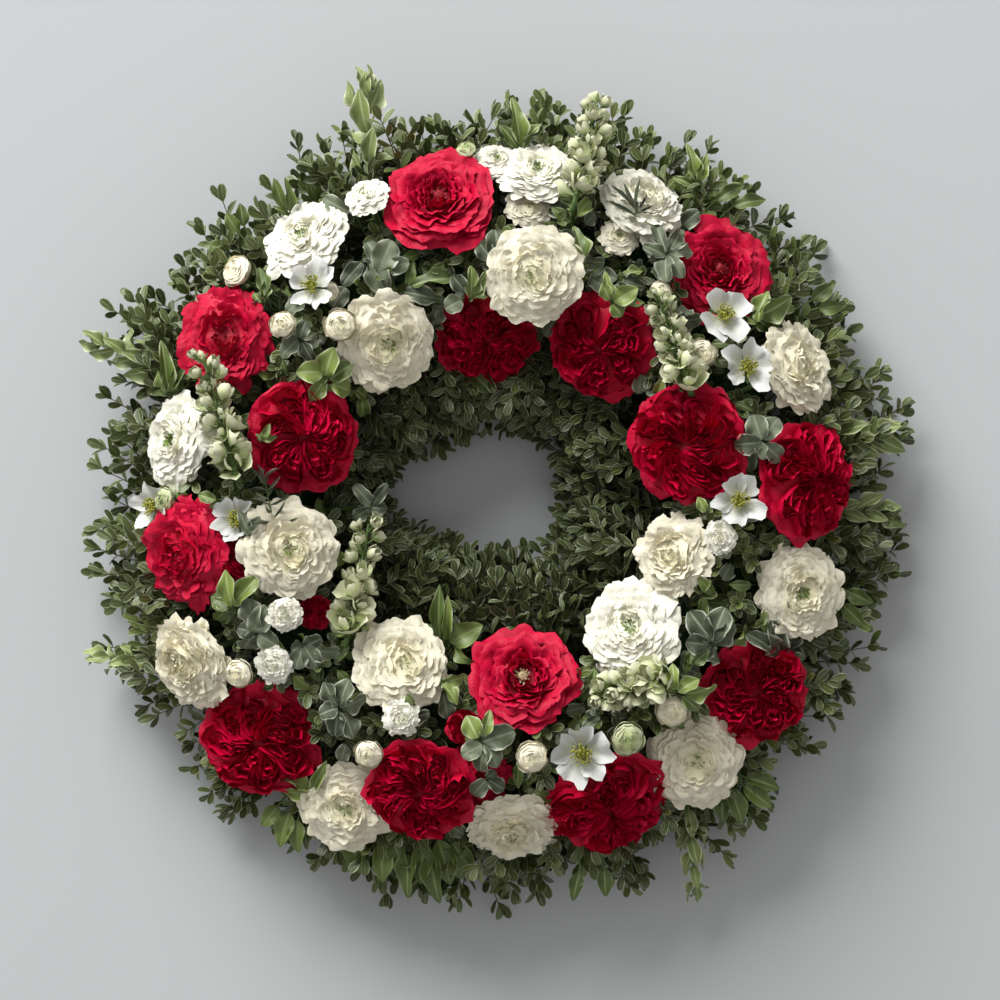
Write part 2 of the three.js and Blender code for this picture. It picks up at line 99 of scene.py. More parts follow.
WHITE_BLOOMS = {
    "white_bloom_01": [-123, 169, 62, 6, "layered", "white"],
    "white_bloom_02": [26, 212, 54, 6, "layered", "white"],
    "white_bloom_03": [94, 193, 60, 2, "frilled", "white"],
    "white_bloom_04": [24, 144, 63, 8, "layered", "cream"],
    "white_bloom_05": [-70, 102, 67, 6, "layered", "cream"],
    "white_bloom_06": [193, 87, 62, 6, "frilled", "cream"],
    "white_bloom_07": [-206, 39, 62, 6, "layered", "white"],
    "white_bloom_08": [-132, -30, 65, 4, "layered", "cream"],
    "white_bloom_09": [-197, -103, 65, 6, "frilled", "cream"],
    "white_bloom_10": [-61, -105, 67, 2, "layered", "cream"],
    "white_bloom_11": [87, -81, 68, 0, "layered", "white"],
    "white_bloom_12": [114, -34, 54, 0, "frilled", "cream"],
    "white_bloom_13": [195, -58, 64, 4, "layered", "cream"],
    "white_bloom_14": [128, -166, 65, 4, "layered", "cream"],
    "white_bloom_15": [-97, -197, 62, 0, "layered", "cream"],
    "white_bloom_16": [10, -210, 62, 4, "layered", "cream"],
    "white_bloom_17": [0, 220, 34, 0, "layered", "white"],
}

# Blooms near the rim that lean outwards less than the others
UPRIGHT_BLOOMS = {"red_bloom_02", "red_bloom_03", "red_bloom_10", "red_bloom_14", "white_bloom_13",
                  "white_bloom_14", "white_bloom_15"}

# Blooms that are narrower from side to side than from top to bottom
SQUEEZED = {"red_bloom_08": 0.84, "red_bloom_03": 0.94, "white_bloom_07": 0.94, "white_bloom_13": 0.94}

# The one red bloom whose eye is tan
TAN_EYED_BLOOM = "red_bloom_12"

# The small cup-shaped flowers: [x, y, diameter, lift, petals, first petal's bearing]
CUP_FLOWERS = {
    "cup_flower_1": [-117, 137, 34, 16, 5, 0.3],
    "cup_flower_2": [144, 119, 35, 18, 4, 0.5],
    "cup_flower_3": [159, 85, 35, 18, 5, 0.2],
    "cup_flower_4": [154, 1, 33, 12, 5, 0.9],
    "cup_flower_5": [54, -159, 40, 16, 5, 1.4],
}

# The flower spikes: [x and y of the foot, x and y of the tip, height of the foot, height of the tip, width]
FLOWER_SPIKES = {
    "flower_spike_1": [51, 196, 65, 256, 92, 76, 25],
    "flower_spike_2": [-166, 20, -185, 90, 110, 112, 26],
    "flower_spike_3": [-95, -86, -82, -14, 92, 84, 26],
    "flower_spike_4": [121, 74, 103, 128, 110, 112, 25],
    "flower_spike_5": [109, -111, 69, -121, 106, 100, 28],
}

# The broad-leaved sprigs: the same places, then the length of a leaf
LEAF_SPRIGS = {
    "leaf_sprig_1": [-82, 196, -86, 290, 58, 46, 26],
    "leaf_sprig_2": [-209, 86, -279, 110, 52, 40, 24],
    "leaf_sprig_3": [-209, -106, -275, -100, 46, 34, 22],
    "leaf_sprig_4": [212, 42, 269, 44, 50, 40, 26],
    "leaf_sprig_5": [215, -6, 273, -8, 44, 32, 22],
    "leaf_sprig_6": [124, -190, 133, -270, 50, 26, 22],
}

# Small flowers and buds between the blooms, by the pixel they show at: [px, py, radius in pixels, lift,
# kind, tint]
SMALL_BLOOMS = [
    [367, 197, 24, 22, "layered", "white"],
    [238, 272, 17, 6, "bud", "cream"],
    [283, 325, 14, 14, "bud", "cream"],
    [340, 325, 16, 14, "bud", "cream"],
    [466, 151, 11, 2, "bud", "green"],
    [583, 187, 11, 12, "bud", "green"],
    [285, 615, 18, 12, "frilled", "white"],
    [240, 672, 15, 10, "bud", "cream"],
    [274, 664, 20, 6, "frilled", "white"],
    [401, 718, 18, 12, "frilled", "white"],
    [369, 753, 15, 12, "bud", "cream"],
    [532, 757, 16, 14, "bud", "cream"],
    [672, 710, 17, 6, "bud", "cream"],
    [212, 437, 15, 16, "frilled", "white"],
    [702, 354, 15, 6, "bud", "cream"],
    [627, 738, 17, 10, "bud", "green"],
    [166, 500, 14, 8, "bud", "green"],
    [720, 537, 17, 10, "frilled", "white"],
    [660, 291, 11, 2, "bud", "cream"],
    [619, 237, 20, -8, "layered", "cream"],
    [530, 208, 24, -8, "layered", "cream"],
    [314, 612, 18, -8, "quartered", "red"],
    [464, 727, 18, -4, "quartered", "red"],
    [231, 556, 26, -2, "quartered", "red"],
    [330, 292, 10, 6, "bud", "cream"],
]

# More cup-shaped flowers, partly hidden: [px, py, radius in pixels, lift, petals, bearing]
SMALL_CUPS = [
    [152, 507, 24, 2, 5, 0.4],
    [236, 519, 23, 6, 5, 1.1],
]

# Single leaves between the blooms, by kind and by the pixels of their foot and their tip: [foot, tip, width
# in pixels, lift of the foot, lift of the tip]
PLACED_LEAVES = {
    "grey": [
        [378, 272, 392, 240, 34, 2, 8], [380, 262, 366, 238, 26, 2, 6], [372, 262, 384, 292, 30, 2, 4],
        [362, 262, 342, 284, 22, 4, 8], [350, 212, 318, 196, 20, 4, 4], [384, 270, 408, 262, 22, 0, 4],
        [404, 292, 438, 298, 22, 0, 4], [462, 300, 446, 308, 22, 8, 12], [466, 292, 452, 276, 20, 8, 12],
        [500, 262, 496, 228, 30, 4, 8], [498, 258, 520, 238, 24, 2, 6], [492, 260, 478, 242, 22, 2, 6],
        [298, 340, 278, 356, 24, 6, 8], [302, 342, 312, 362, 20, 6, 6], [300, 338, 306, 318, 18, 6, 10],
        [262, 300, 250, 316, 18, 0, 2], [250, 536, 240, 512, 14, 10, 14], [246, 536, 258, 518, 14, 10, 14],
        [256, 630, 246, 598, 34, 8, 12], [252, 632, 268, 606, 30, 8, 12], [254, 632, 244, 652, 26, 6, 8],
        [258, 634, 276, 646, 22, 6, 8], [304, 646, 318, 668, 26, 4, 6], [304, 646, 322, 640, 24, 4, 8],
        [302, 648, 296, 668, 24, 4, 8], [306, 650, 338, 654, 22, 2, 4], [338, 706, 322, 684, 24, 8, 12],
        [340, 706, 346, 680, 24, 8, 14], [340, 708, 366, 700, 24, 8, 12], [338, 708, 318, 714, 24, 8, 12],
        [338, 710, 334, 736, 24, 8, 12], [342, 712, 356, 736, 26, 6, 10], [346, 744, 340, 762, 18, 4, 6],
        [482, 742, 514, 732, 30, 12, 16], [482, 744, 462, 756, 24, 12, 16],
        [484, 744, 478, 772, 30, 12, 14], [486, 744, 500, 768, 24, 12, 14], [486, 780, 472, 796, 24, 6, 8],
        [488, 780, 506, 790, 22, 6, 8], [666, 252, 654, 218, 16, 10, 16], [668, 252, 686, 226, 22, 10, 16],
        [668, 254, 694, 250, 20, 10, 14], [666, 256, 644, 244, 18, 10, 14],
        [666, 256, 664, 282, 22, 10, 12], [670, 256, 682, 276, 18, 10, 12],
        [762, 440, 752, 414, 26, 12, 18], [764, 440, 778, 416, 26, 12, 18],
        [762, 442, 734, 446, 26, 12, 14], [764, 444, 784, 462, 24, 12, 12],
        [762, 442, 762, 460, 16, 12, 12], [372, 506, 354, 484, 20, 10, 16],
        [372, 506, 386, 486, 16, 10, 16], [370, 508, 352, 520, 20, 10, 12],
        [370, 508, 388, 508, 15, 10, 12], [712, 640, 690, 614, 34, 4, 8], [712, 642, 724, 606, 36, 4, 8],
        [714, 644, 736, 624, 30, 4, 6], [710, 644, 684, 644, 26, 2, 6], [778, 654, 754, 634, 26, 0, 6],
        [780, 654, 774, 622, 26, 0, 6], [782, 656, 798, 632, 28, -2, 4], [782, 658, 802, 660, 24, -4, 0],
        [600, 716, 582, 728, 14, 4, 6],
    ],
    "lime": [
        [470, 298, 474, 268, 19, 10, 16], [472, 296, 486, 276, 12, 8, 14], [582, 262, 578, 218, 18, 6, 10],
        [586, 262, 556, 242, 20, 6, 8], [322, 372, 298, 372, 24, 4, 10], [326, 376, 330, 350, 24, 4, 12],
        [330, 380, 352, 362, 24, 4, 12], [332, 384, 356, 392, 26, 4, 8], [324, 380, 312, 400, 20, 2, 6],
        [356, 390, 372, 400, 20, 0, 4], [362, 396, 364, 422, 16, -2, 2], [262, 300, 270, 276, 12, 4, 8],
        [168, 392, 164, 346, 18, 0, 10], [170, 392, 184, 360, 14, 0, 8], [168, 392, 152, 372, 12, 0, 6],
        [212, 420, 202, 412, 14, 16, 20], [214, 424, 226, 410, 16, 16, 20],
        [216, 500, 196, 494, 12, 12, 16], [232, 606, 222, 572, 22, 10, 18],
        [234, 606, 254, 576, 22, 10, 18], [446, 640, 448, 596, 13, 4, 14], [442, 684, 458, 700, 16, 10, 12],
        [444, 682, 466, 678, 14, 10, 14], [478, 738, 466, 716, 22, 14, 20],
        [482, 738, 492, 708, 16, 14, 22], [610, 300, 602, 284, 18, 8, 14], [614, 302, 636, 288, 24, 8, 14],
        [612, 304, 624, 316, 20, 6, 8], [610, 296, 604, 268, 9, 8, 12], [758, 322, 764, 290, 20, 4, 12],
        [758, 316, 798, 298, 26, 4, 10], [696, 182, 690, 140, 16, -2, 4], [698, 182, 708, 156, 12, -2, 4],
        [520, 146, 516, 100, 20, -4, 2], [522, 146, 538, 118, 18, -4, 2], [676, 690, 670, 660, 16, 14, 20],
        [678, 692, 700, 676, 17, 14, 18], [684, 694, 718, 690, 17, 12, 14],
        [682, 696, 700, 712, 15, 12, 14], [706, 512, 698, 498, 14, 10, 14], [312, 792, 280, 774, 16, 0, 4],
        [312, 792, 322, 768, 14, 0, 6], [314, 794, 282, 794, 13, 0, 2], [316, 794, 304, 812, 14, -2, 0],
        [573, 212, 563, 184, 15, 2, 8], [577, 216, 594, 196, 14, 2, 8],
    ],
    "green": [
        [412, 286, 457, 272, 18, 0, 4], [264, 296, 260, 262, 14, 6, 10], [262, 440, 270, 424, 9, 14, 18],
        [262, 440, 280, 436, 8, 14, 16], [232, 606, 210, 596, 22, 8, 12], [230, 606, 214, 624, 22, 6, 8],
        [440, 642, 436, 582, 17, 4, 18], [450, 642, 484, 624, 24, 6, 12], [454, 646, 474, 668, 15, 6, 8],
        [414, 704, 404, 694, 12, 18, 22], [756, 316, 776, 306, 18, 2, 6], [734, 206, 770, 196, 17, 2, 4],
        [716, 200, 744, 184, 14, 0, 2], [518, 148, 500, 122, 15, -4, 0], [692, 664, 712, 650, 14, 6, 8],
        [284, 208, 272, 176, 15, 0, 8], [290, 212, 288, 180, 11, 0, 8], [340, 566, 336, 548, 16, 6, 10],
        [571, 222, 553, 208, 14, 0, 6], [470, 372, 494, 392, 22, -14, -10],
        [466, 374, 440, 382, 18, -14, -12],
    ],
    "needle": [
        [636, 208, 612, 186, 5, 16, 22], [636, 208, 622, 180, 5, 16, 22], [636, 210, 640, 178, 5, 16, 22],
        [634, 214, 606, 200, 5, 16, 20],
    ],
}

# The share that the grey leaves have of the width in their rows
GREY_NARROWER = 0.86

# The sprig of needles, by the pixels of its foot and its tip
NEEDLE_FOOT = 276, 540
NEEDLE_TIP = 262, 474

# Broad leaves under the blooms round the lower edge: [px and py of the foot, of the tip, width in pixels]
RIM_LEAVES = [
    [352, 836, 358, 874, 20], [366, 838, 346, 868, 18], [380, 842, 384, 882, 22], [392, 838, 404, 872, 20],
    [424, 842, 420, 884, 22], [438, 840, 452, 884, 24], [452, 842, 474, 876, 22], [410, 846, 404, 898, 20],
    [430, 850, 436, 904, 22], [278, 806, 262, 826, 18], [290, 812, 278, 846, 20], [298, 820, 296, 852, 18],
    [712, 786, 704, 806, 16], [730, 788, 744, 822, 20], [744, 786, 772, 806, 20], [722, 794, 722, 822, 18],
    [746, 778, 780, 786, 18], [238, 232, 226, 214, 15], [226, 250, 206, 244, 15], [244, 226, 240, 204, 14],
    [812, 300, 834, 284, 16], [818, 308, 846, 306, 15], [214, 330, 196, 318, 15], [206, 344, 184, 338, 14],
    [846, 590, 872, 604, 16], [842, 604, 864, 626, 16], [604, 868, 606, 896, 16], [580, 872, 572, 900, 15],
]

# Small leaves that fill the gaps between the blooms, before those that a bloom would cover are left out
FILLER_LEAVES = {"grey": 260, "lime": 130, "green": 260}

# The outline of the boxwood, and the hole in its middle, about their own centres
OUTLINE_CENTRE = np.array([3.0, -7.0, 0.0])
OUTLINE_RADIUS = 262
HOLE_CENTRE = np.array([-12.0, 2.5, 0.0])
HOLE_HALF_WIDTHS = np.array([57.0, 38.0])

# How much further out than that the hole reaches, at every 22.5 degrees
HOLE_REACH = [3, 5, 9, 5, 1, -4, -9, -6, 3, 1, -7, -2, -2, 4, 14, 11, 3]

# Where tufts of boxwood reach further out, or less far: [bearing and spread in degrees, reach]
OUTLINE_TUFTS = [[18, 8, 8], [31, 6, 9], [61, 8, 6], [105, 7, 12], [128, 6, 6], [151, 7, 17], [181, 7, -7],
                 [196, 6, 8], [211, 7, 18], [268, 8, 12], [300, 7, 10], [330, 6, 10], [345, 6, -4]]

# How many sprigs of boxwood there are, and how many pieces those round the flanks make
OUTER_SPRIGS = 560
INNER_SPRIGS = 280
CROWN_SPRIGS = 300
OUTER_SECTORS = 6
INNER_SECTORS = 4


# Small helpers

def unit(v):
    return v / np.maximum(np.linalg.norm(v, axis=-1, keepdims=True), 1e-9)


def between(pair, share):
    """The value a share of the way from the first of a pair to the second."""
    return pair[0] + (pair[1] - pair[0]) * share


def basis(axis):
    """Two directions across an axis, and the axis."""
    axis = unit(np.asarray(axis, float))
    side = np.cross([0.0, 1.0, 0.0], axis)
    side = unit(side) if np.linalg.norm(side) > 1e-3 else np.array([1.0, 0.0, 0.0])
    return np.stack([side, np.cross(axis, side), axis])


def section_share(reach):
    """How far a place is from the ring's middle line, in shares of the round section."""
    return min(max((reach - RING_RADIUS) / BLOOM_REACH, -MOST_OFFSET), MOST_OFFSET)


def crown_height(x, y):
    """How high the middle of a bloom stands over a place, before its lift. x and y are in the world."""
    share = section_share(math.hypot(x - RING_CENTRE[0], y - RING_CENTRE[1]))
    return SECTION_HEIGHT + BLOOM_REACH * math.cos(math.asin(share))


def place_over_ring(x, y, lift, lean_share=LEAN_SHARE):
    """The centre and the axis of a head that stands over a place of the ring, laid out from its centre."""
    reach = math.hypot(x, y)
    slope = math.asin(section_share(reach))
    lean = lean_share * slope
    centre = np.array([x, y, SECTION_HEIGHT + BLOOM_REACH * math.cos(slope) + lift]) + RING_CENTRE
    axis = np.array([math.sin(lean) * x / reach, math.sin(lean) * y / reach, math.cos(lean)])
    return centre, axis


def foot_of(point):
    """Where the stem of a head at a given place stands on the foam."""
    x, y = point[0] - RING_CENTRE[0], point[1] - RING_CENTRE[1]
    bearing = math.atan2(y, x)
    offset = min(max(0.3 * (math.hypot(x, y) - RING_RADIUS), -FOOT_SPREAD), FOOT_SPREAD)
    reach = RING_RADIUS + offset
    return RING_CENTRE + np.array([reach * math.cos(bearing), reach * math.sin(bearing), FOAM_TOP])


def at(px, py, lift=0.0):
    """The place in the world that shows at a pixel, at the crown's height there and a lift above it."""
    z = USUAL_HEIGHT
    for _ in range(3):
        scale = PIXEL * (CAMERA[2] - z) / (CAMERA[2] - PIXEL_HEIGHT)
        x = (px - PICTURE / 2) * scale + CAMERA[0]
        y = (PICTURE / 2 - py) * scale + CAMERA[1]
        z = min(crown_height(x, y) + lift, HIGHEST)
    return np.array([x, y, z])


# Meshes

class Heap:
    """Sheets of mesh that become one object. A sheet is a grid of points, along by across."""

    def __init__(self):
        self.points, self.faces, self.places, self.tones, self.finishes = [], [], [], [], []
        self.count = 0

    def sheets(self, points, finish=0, tones=None, closed=False):
        """points is (sheet, along, across, 3). A closed sheet joins its last column to its first."""
        number, along, across = points.shape[:3]
        grid = np.arange(along * across).reshape(along, across)
        if closed:
            grid = np.concatenate([grid, grid[:, :1]], axis=1)
        a, b, c, d = grid[:-1, :-1], grid[:-1, 1:], grid[1:, 1:], grid[1:, :-1]
        faces = np.stack([a, b, c, a, c, d], -1).reshape(-1, 3)
        starts = self.count + np.arange(number) * along * across
        self.faces.append((faces[None] + starts[:, None, None]).reshape(-1, 3))
        self.finishes.append(np.full(number * len(faces), finish))
        u, v = np.meshgrid(np.linspace(0, 1, across), np.linspace(0, 1, along))
        place = np.stack([u, v], -1).reshape(1, -1, 2)
        self.places.append(np.repeat(place, number, axis=0).reshape(-1, 2))
        tones = np.full(number, 0.5) if tones is None else tones
        self.tones.append(np.repeat(tones, along * across))
        self.points.append(points.reshape(-1, 3))
        self.count += number * along * across

    def build(self, name, finishes, replaced=()):
        points = np.concatenate(self.points) * METRES
        faces = np.concatenate(self.faces)
        mesh = bpy.data.meshes.new(name)
        mesh.vertices.add(len(points))
        mesh.vertices.foreach_set("co", points.astype(np.float32).ravel())
        mesh.loops.add(faces.size)
        mesh.loops.foreach_set("vertex_index", faces.astype(np.int32).ravel())
        mesh.polygons.add(len(faces))
        mesh.polygons.foreach_set("loop_start", np.arange(0, faces.size, 3, dtype=np.int32))
        mesh.polygons.foreach_set("material_index", np.concatenate(self.finishes).astype(np.int32))
        mesh.update(calc_edges=True)
        mesh.shade_smooth()
        layer = mesh.uv_layers.new(name="UVMap")
        places = np.concatenate(self.places)[faces.ravel()]
        layer.data.foreach_set("uv", places.astype(np.float32).ravel())
        tone = mesh.attributes.new("tone", "FLOAT", "POINT")
        tone.data.foreach_set("value", np.concatenate(self.tones).astype(np.float32))
        for finish in finishes:
            mesh.materials.append(finish)
        piece = bpy.data.objects.new(name, mesh)
        bpy.context.scene.collection.objects.link(piece)
        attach(piece, "root")
        if replaced:
            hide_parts(*replaced)
        return piece


def tubes(starts, middles, ends, thick, thin, sides=5, steps=5):
    """Tapered tubes along curves that are pulled towards a middle point. Each argument has a row a tube."""
    t = np.linspace(0, 1, steps)[None, :, None]
    line = (1 - t) ** 2 * starts[:, None] + 2 * t * (1 - t) * middles[:, None] + t**2 * ends[:, None]
    along = unit(np.gradient(line, axis=1))
    side = unit(np.cross(along, np.broadcast_to([0.31, 0.17, 0.94], along.shape)))
    over = np.cross(along, side)
    turn = np.linspace(0, math.tau, sides, endpoint=False)
    radius = thick + (thin - thick) * t[..., None]
    ring = np.cos(turn)[:, None] * side[:, :, None] + np.sin(turn)[:, None] * over[:, :, None]
    return line[:, :, None] + radius * ring


def stem(heap, foot, knee, top, thick, thin, sides, steps, finish):
    """Adds one tube from the foot to the top, pulled towards the knee."""
    heap.sheets(tubes(foot[None], knee[None], top[None], thick, thin, sides, steps), finish, closed=True)


def spun(radii, heights, turn):
    """A surface spun round the axis: a row for each radius and height, a column for each bearing."""
    heights = np.broadcast_to(heights, (len(radii), len(turn)))
    return np.stack([np.outer(radii, np.cos(turn)), np.outer(radii, np.sin(turn)), heights], -1)


def bent(points, amount, size, seed):
    """The same points, each pushed a little by waves that run through space."""
    phase = seed * 1.7
    k = math.tau / size
    x, y, z = points[..., 0], points[..., 1], points[..., 2]
    push = np.stack([
        np.sin(k * y + phase) + np.sin(1.7 * k * z + 2.1 * phase),
        np.sin(k * z + 1.3 * phase) + np.sin(1.9 * k * x + phase),
        np.sin(k * x + 0.7 * phase) + np.sin(1.6 * k * y + 1.9 * phase),
    ], -1)
    return points + 0.5 * amount * push


# Petals. A bloom is made one unit in radius, with its axis up, and then set in its place

def petal_ring(rng, count, base, middle, edge, half_angle, ruffle=0.03, waves=2.0, round_off=0.3,
               roll=0.5, turn=0.0, grid=(8, 11), loose=1.0, tuck=0.04):
    """A ring of petals that wrap round the axis. base, middle and edge are (radius, height)."""
    along, across = grid
    u = (1 - (1 - np.linspace(0, 1, along)) ** 1.7)[None, :, None]
    v = np.linspace(-1, 1, across)[None, None, :]

    def each(low, high):
        return rng.uniform(low, high, count)[:, None, None]

    bearing = turn + math.tau * (np.arange(count)[:, None, None] + each(-0.22, 0.22) * loose) / count
    reach = u * (1 - np.minimum(round_off * np.abs(v) ** 2.6 * each(0.7, 1.3), 0.95))
    reach = reach * (1 + each(-0.05, 0.03) * loose)
    grow = 1 + each(-0.05, 0.05) * loose
    rise = each(-0.04, 0.05) * loose
    r = (1 - reach) ** 2 * base[0] + 2 * reach * (1 - reach) * middle[0] * grow + reach**2 * edge[0] * grow
    h = (1 - reach) ** 2 * base[1] + 2 * reach * (1 - reach) * middle[1] + reach**2 * (edge[1] + rise)
    lip = np.clip((reach - 0.72) / 0.28, 0, 1) ** 2
    curl = roll * each(0.4, 1.5)
    r = r + 0.09 * curl * lip
    h = h - 0.07 * curl * lip
    width = half_angle * (0.4 + 0.6 * reach**0.7) * (1 + each(-0.12, 0.12))
    wave = np.sin(waves * math.pi * v * each(0.8, 1.2) + each(0, 6.3))
    wave = wave + 0.5 * np.sin(2.3 * waves * math.pi * v + each(0, 6.3))
    wave2 = np.sin(waves * 1.3 * math.pi * v + each(0, 6.3))
    strength = ruffle * reach**2.5
    r = r + strength * wave
    h = h + 0.8 * strength * wave2
    side = np.where(each(-1, 1) > 0, 1.0, -1.0)
    r = r * (1 + tuck * v * side) - 0.05 * edge[0] * v**2
    angle = bearing + width * v
    return np.stack([r * np.cos(angle), r * np.sin(angle), np.broadcast_to(h, angle.shape)], -1)


def folded_quarters(rng, quarters, nested, outer, height, turn, grid=(6, 23)):
    """Nested U-shaped folds that fill the middle of an old garden rose, a few to each quarter."""
    along, across = grid
    u = np.linspace(0, 1, along)[None, :, None]
    v = np.linspace(-1, 1, across)[None, None, :]
    sheets = []
    swirl = rng.uniform(0.4, 0.9) * rng.choice([-1, 1])
    for q in range(quarters):
        bearing = turn + math.tau * (q + rng.uniform(-0.2, 0.2)) / quarters
        for k in range(nested):
            share = 1 - k / (nested + 0.4)
            middle = outer * (0.22 + 0.78 * share) * rng.uniform(0.9, 1.06)
            half = math.pi / quarters * (0.2 + 0.92 * share) * rng.uniform(0.9, 1.1)
            inner = rng.uniform(0.02, 0.1) + 0.12 * k / nested
            phase, phase2 = rng.uniform(0, 6.3, 2)
            r = inner + (middle - inner) * (1 - np.abs(v) ** 2.4) * (1 + 0.03 * np.sin(5 * v + phase2))
            angle = bearing + half * np.sin(v * math.pi / 2) * (0.75 + 0.25 * (1 - np.abs(v) ** 4))
            angle = angle + swirl * (1 - r / outer) ** 1.5
            wave = np.sin(3.5 * v * math.pi + phase) + 0.5 * np.sin(8 * v * math.pi + phase2)
            lean = 0.05 + 0.05 * rng.uniform()
            top = height - 0.24 * (r / outer) ** 2.4 - 0.05 * np.exp(-((r / 0.16) ** 2))
            top = top + rng.uniform(-0.03, 0.04) + 0.02 * np.sin(5 * v * math.pi + phase2)
            low = top - 0.3
            h = low + (top - low) * u
            flare = u**2 * (lean + 0.02 * wave)
            rr = r + flare * (1 - 0.5 * np.abs(v))
            angle = angle + 0.05 * u * wave * (1 + np.abs(v))
            sheets.append(np.stack([rr * np.cos(angle), rr * np.sin(angle), h + 0 * angle], -1)[0])
    return np.stack(sheets)


# The kinds of bloom, in shares of a bloom's radius. Petals stand in rings on a dome, from the edge to the
# eye. top and drop shape the dome and hollow sinks it round the eye. petals and widths are given for the
# outermost ring and the innermost. stand says how soon the petals stand up on the way in, lift how far
# their edges stand off the dome, sink and depth how far they dive under it, and bed how deep the gaps are.
KINDS = {
    "layered": dict(rings=13, eye=0.13, top=0.31, drop=0.36, hollow=0.06, petals=(19, 9),
                    widths=(0.25, 0.42), stand=0.55, lift=0.008, sink=0.014, depth=0.3, bed=0.03,
                    ruffle=0.014, waves=1.3, round_off=0.17, roll=0.0, loose=1.4, grid=(6, 7)),
    "frilled": dict(rings=15, eye=0.06, top=0.34, drop=0.40, hollow=0.0, petals=(18, 6), widths=(0.24, 0.7),
                    stand=0.35, lift=0.013, sink=0.012, depth=0.3, bed=0.035, ruffle=0.028, waves=1.6,
                    round_off=0.15, roll=0.0, loose=2.0, grid=(5, 8)),
    "open": dict(rings=11, eye=0.18, top=0.36, drop=0.38, hollow=0.14, petals=(7, 6), widths=(0.58, 0.7),
                 stand=0.3, lift=0.02, sink=0.12, depth=0.5, bed=0.22, ruffle=0.03, waves=1.9,
                 round_off=0.14, roll=0.6, loose=1.4, grid=(7, 12)),
    "quartered": dict(rings=4, eye=0.9, top=0.42, drop=0.46, hollow=0.0, petals=(8, 9), widths=(0.52, 0.5),
                      stand=0.3, lift=0.012, sink=0.06, depth=0.3, bed=0.16, ruffle=0.026, waves=1.6,
                      round_off=0.18, roll=0.5, loose=1.0, grid=(6, 12)),
    "bud": dict(rings=6, eye=0.2, top=0.72, drop=0.5, hollow=0.0, petals=(5, 3), widths=(0.8, 1.0),
                stand=0.0, lift=0.0, sink=0.0, depth=1.0, bed=0.12, ruffle=0.02, waves=1.2,
                round_off=0.3, roll=0.15, loose=1.0, grid=(6, 9)),
}
PETAL_STYLE = ("ruffle", "waves", "round_off", "roll", "loose")

# Small blooms have fewer rings, and petals and folds of fewer points
SMALL_RINGS = 0.6
SMALL_PETAL = (5, 7)
FOLD = (5, 23)
SMALL_FOLD = (4, 11)

# The tuft in the eye of an open or layered bloom: [petals, reach, height] of each of its rings
EYE_TUFT = [[10, 0.11, 0.04], [8, 0.075, 0.055], [5, 0.035, 0.06]]

# The calyx under a bloom, as radius and height from the stem up
CALYX = np.array([(0.08, -0.66), (0.2, -0.6), (0.3, -0.48), (0.26, -0.3)])

# How many stamens stand round the eye of a cup-shaped flower
STAMENS = 60


def bloom_petals(kind, seed, fine=True):
    """All the petals of a bloom, and the random numbers that go on from them."""
    rng = np.random.default_rng(seed)
    style = KINDS[kind]
    rings = style["rings"] if fine or kind == "bud" else round(SMALL_RINGS * style["rings"])
    petal_style = {key: style[key] for key in PETAL_STYLE}
    sheets = []

    def dome(radius):
        sunk = style["hollow"] * max(0.0, 1 - radius / 0.45) ** 2
        return style["top"] - style["drop"] * radius**2.4 - sunk

    for k in range(rings):
        inner = k / (rings - 1)
        radius = between((1, style["eye"]), inner)
        count = round(between(style["petals"], inner))
        half = between(style["widths"], inner)
        up = max(0.0, (inner - style["stand"]) / (1 - style["stand"])) ** 1.3
        lying = (0.74 * radius, dome(0.74 * radius) - style["sink"])
        standing = (1.16 * radius + 0.04, dome(radius) - 0.22)
        middle = tuple(between(pair, up) for pair in zip(lying, standing))
        if kind == "bud":
            middle = (1.12 * max(radius, 0.5), 0.0)
        base = (0.12 + 0.1 * radius, dome(radius) - style["depth"])
        edge = (radius, dome(radius) + style["lift"])
        sheets.append(petal_ring(rng, count, base, middle, edge, half, turn=rng.uniform(0, 6.3),
                                 grid=style["grid"] if fine else SMALL_PETAL, **petal_style))
    if kind == "quartered":
        sheets.append(folded_quarters(rng, 7 + seed % 3, 5, 0.92, 0.42, rng.uniform(0, 6.3),
                                      FOLD if fine else SMALL_FOLD))
    turn = np.linspace(0, math.tau, 25)
    radii = np.linspace(0.004, 0.9, 7)
    depth = style["bed"] + 0.02 * np.sin(5 * turn)[None] * radii[:, None]
    sheets.append(spun(radii, np.array([dome(r) for r in radii])[:, None] - depth, turn)[None])
    return sheets, rng


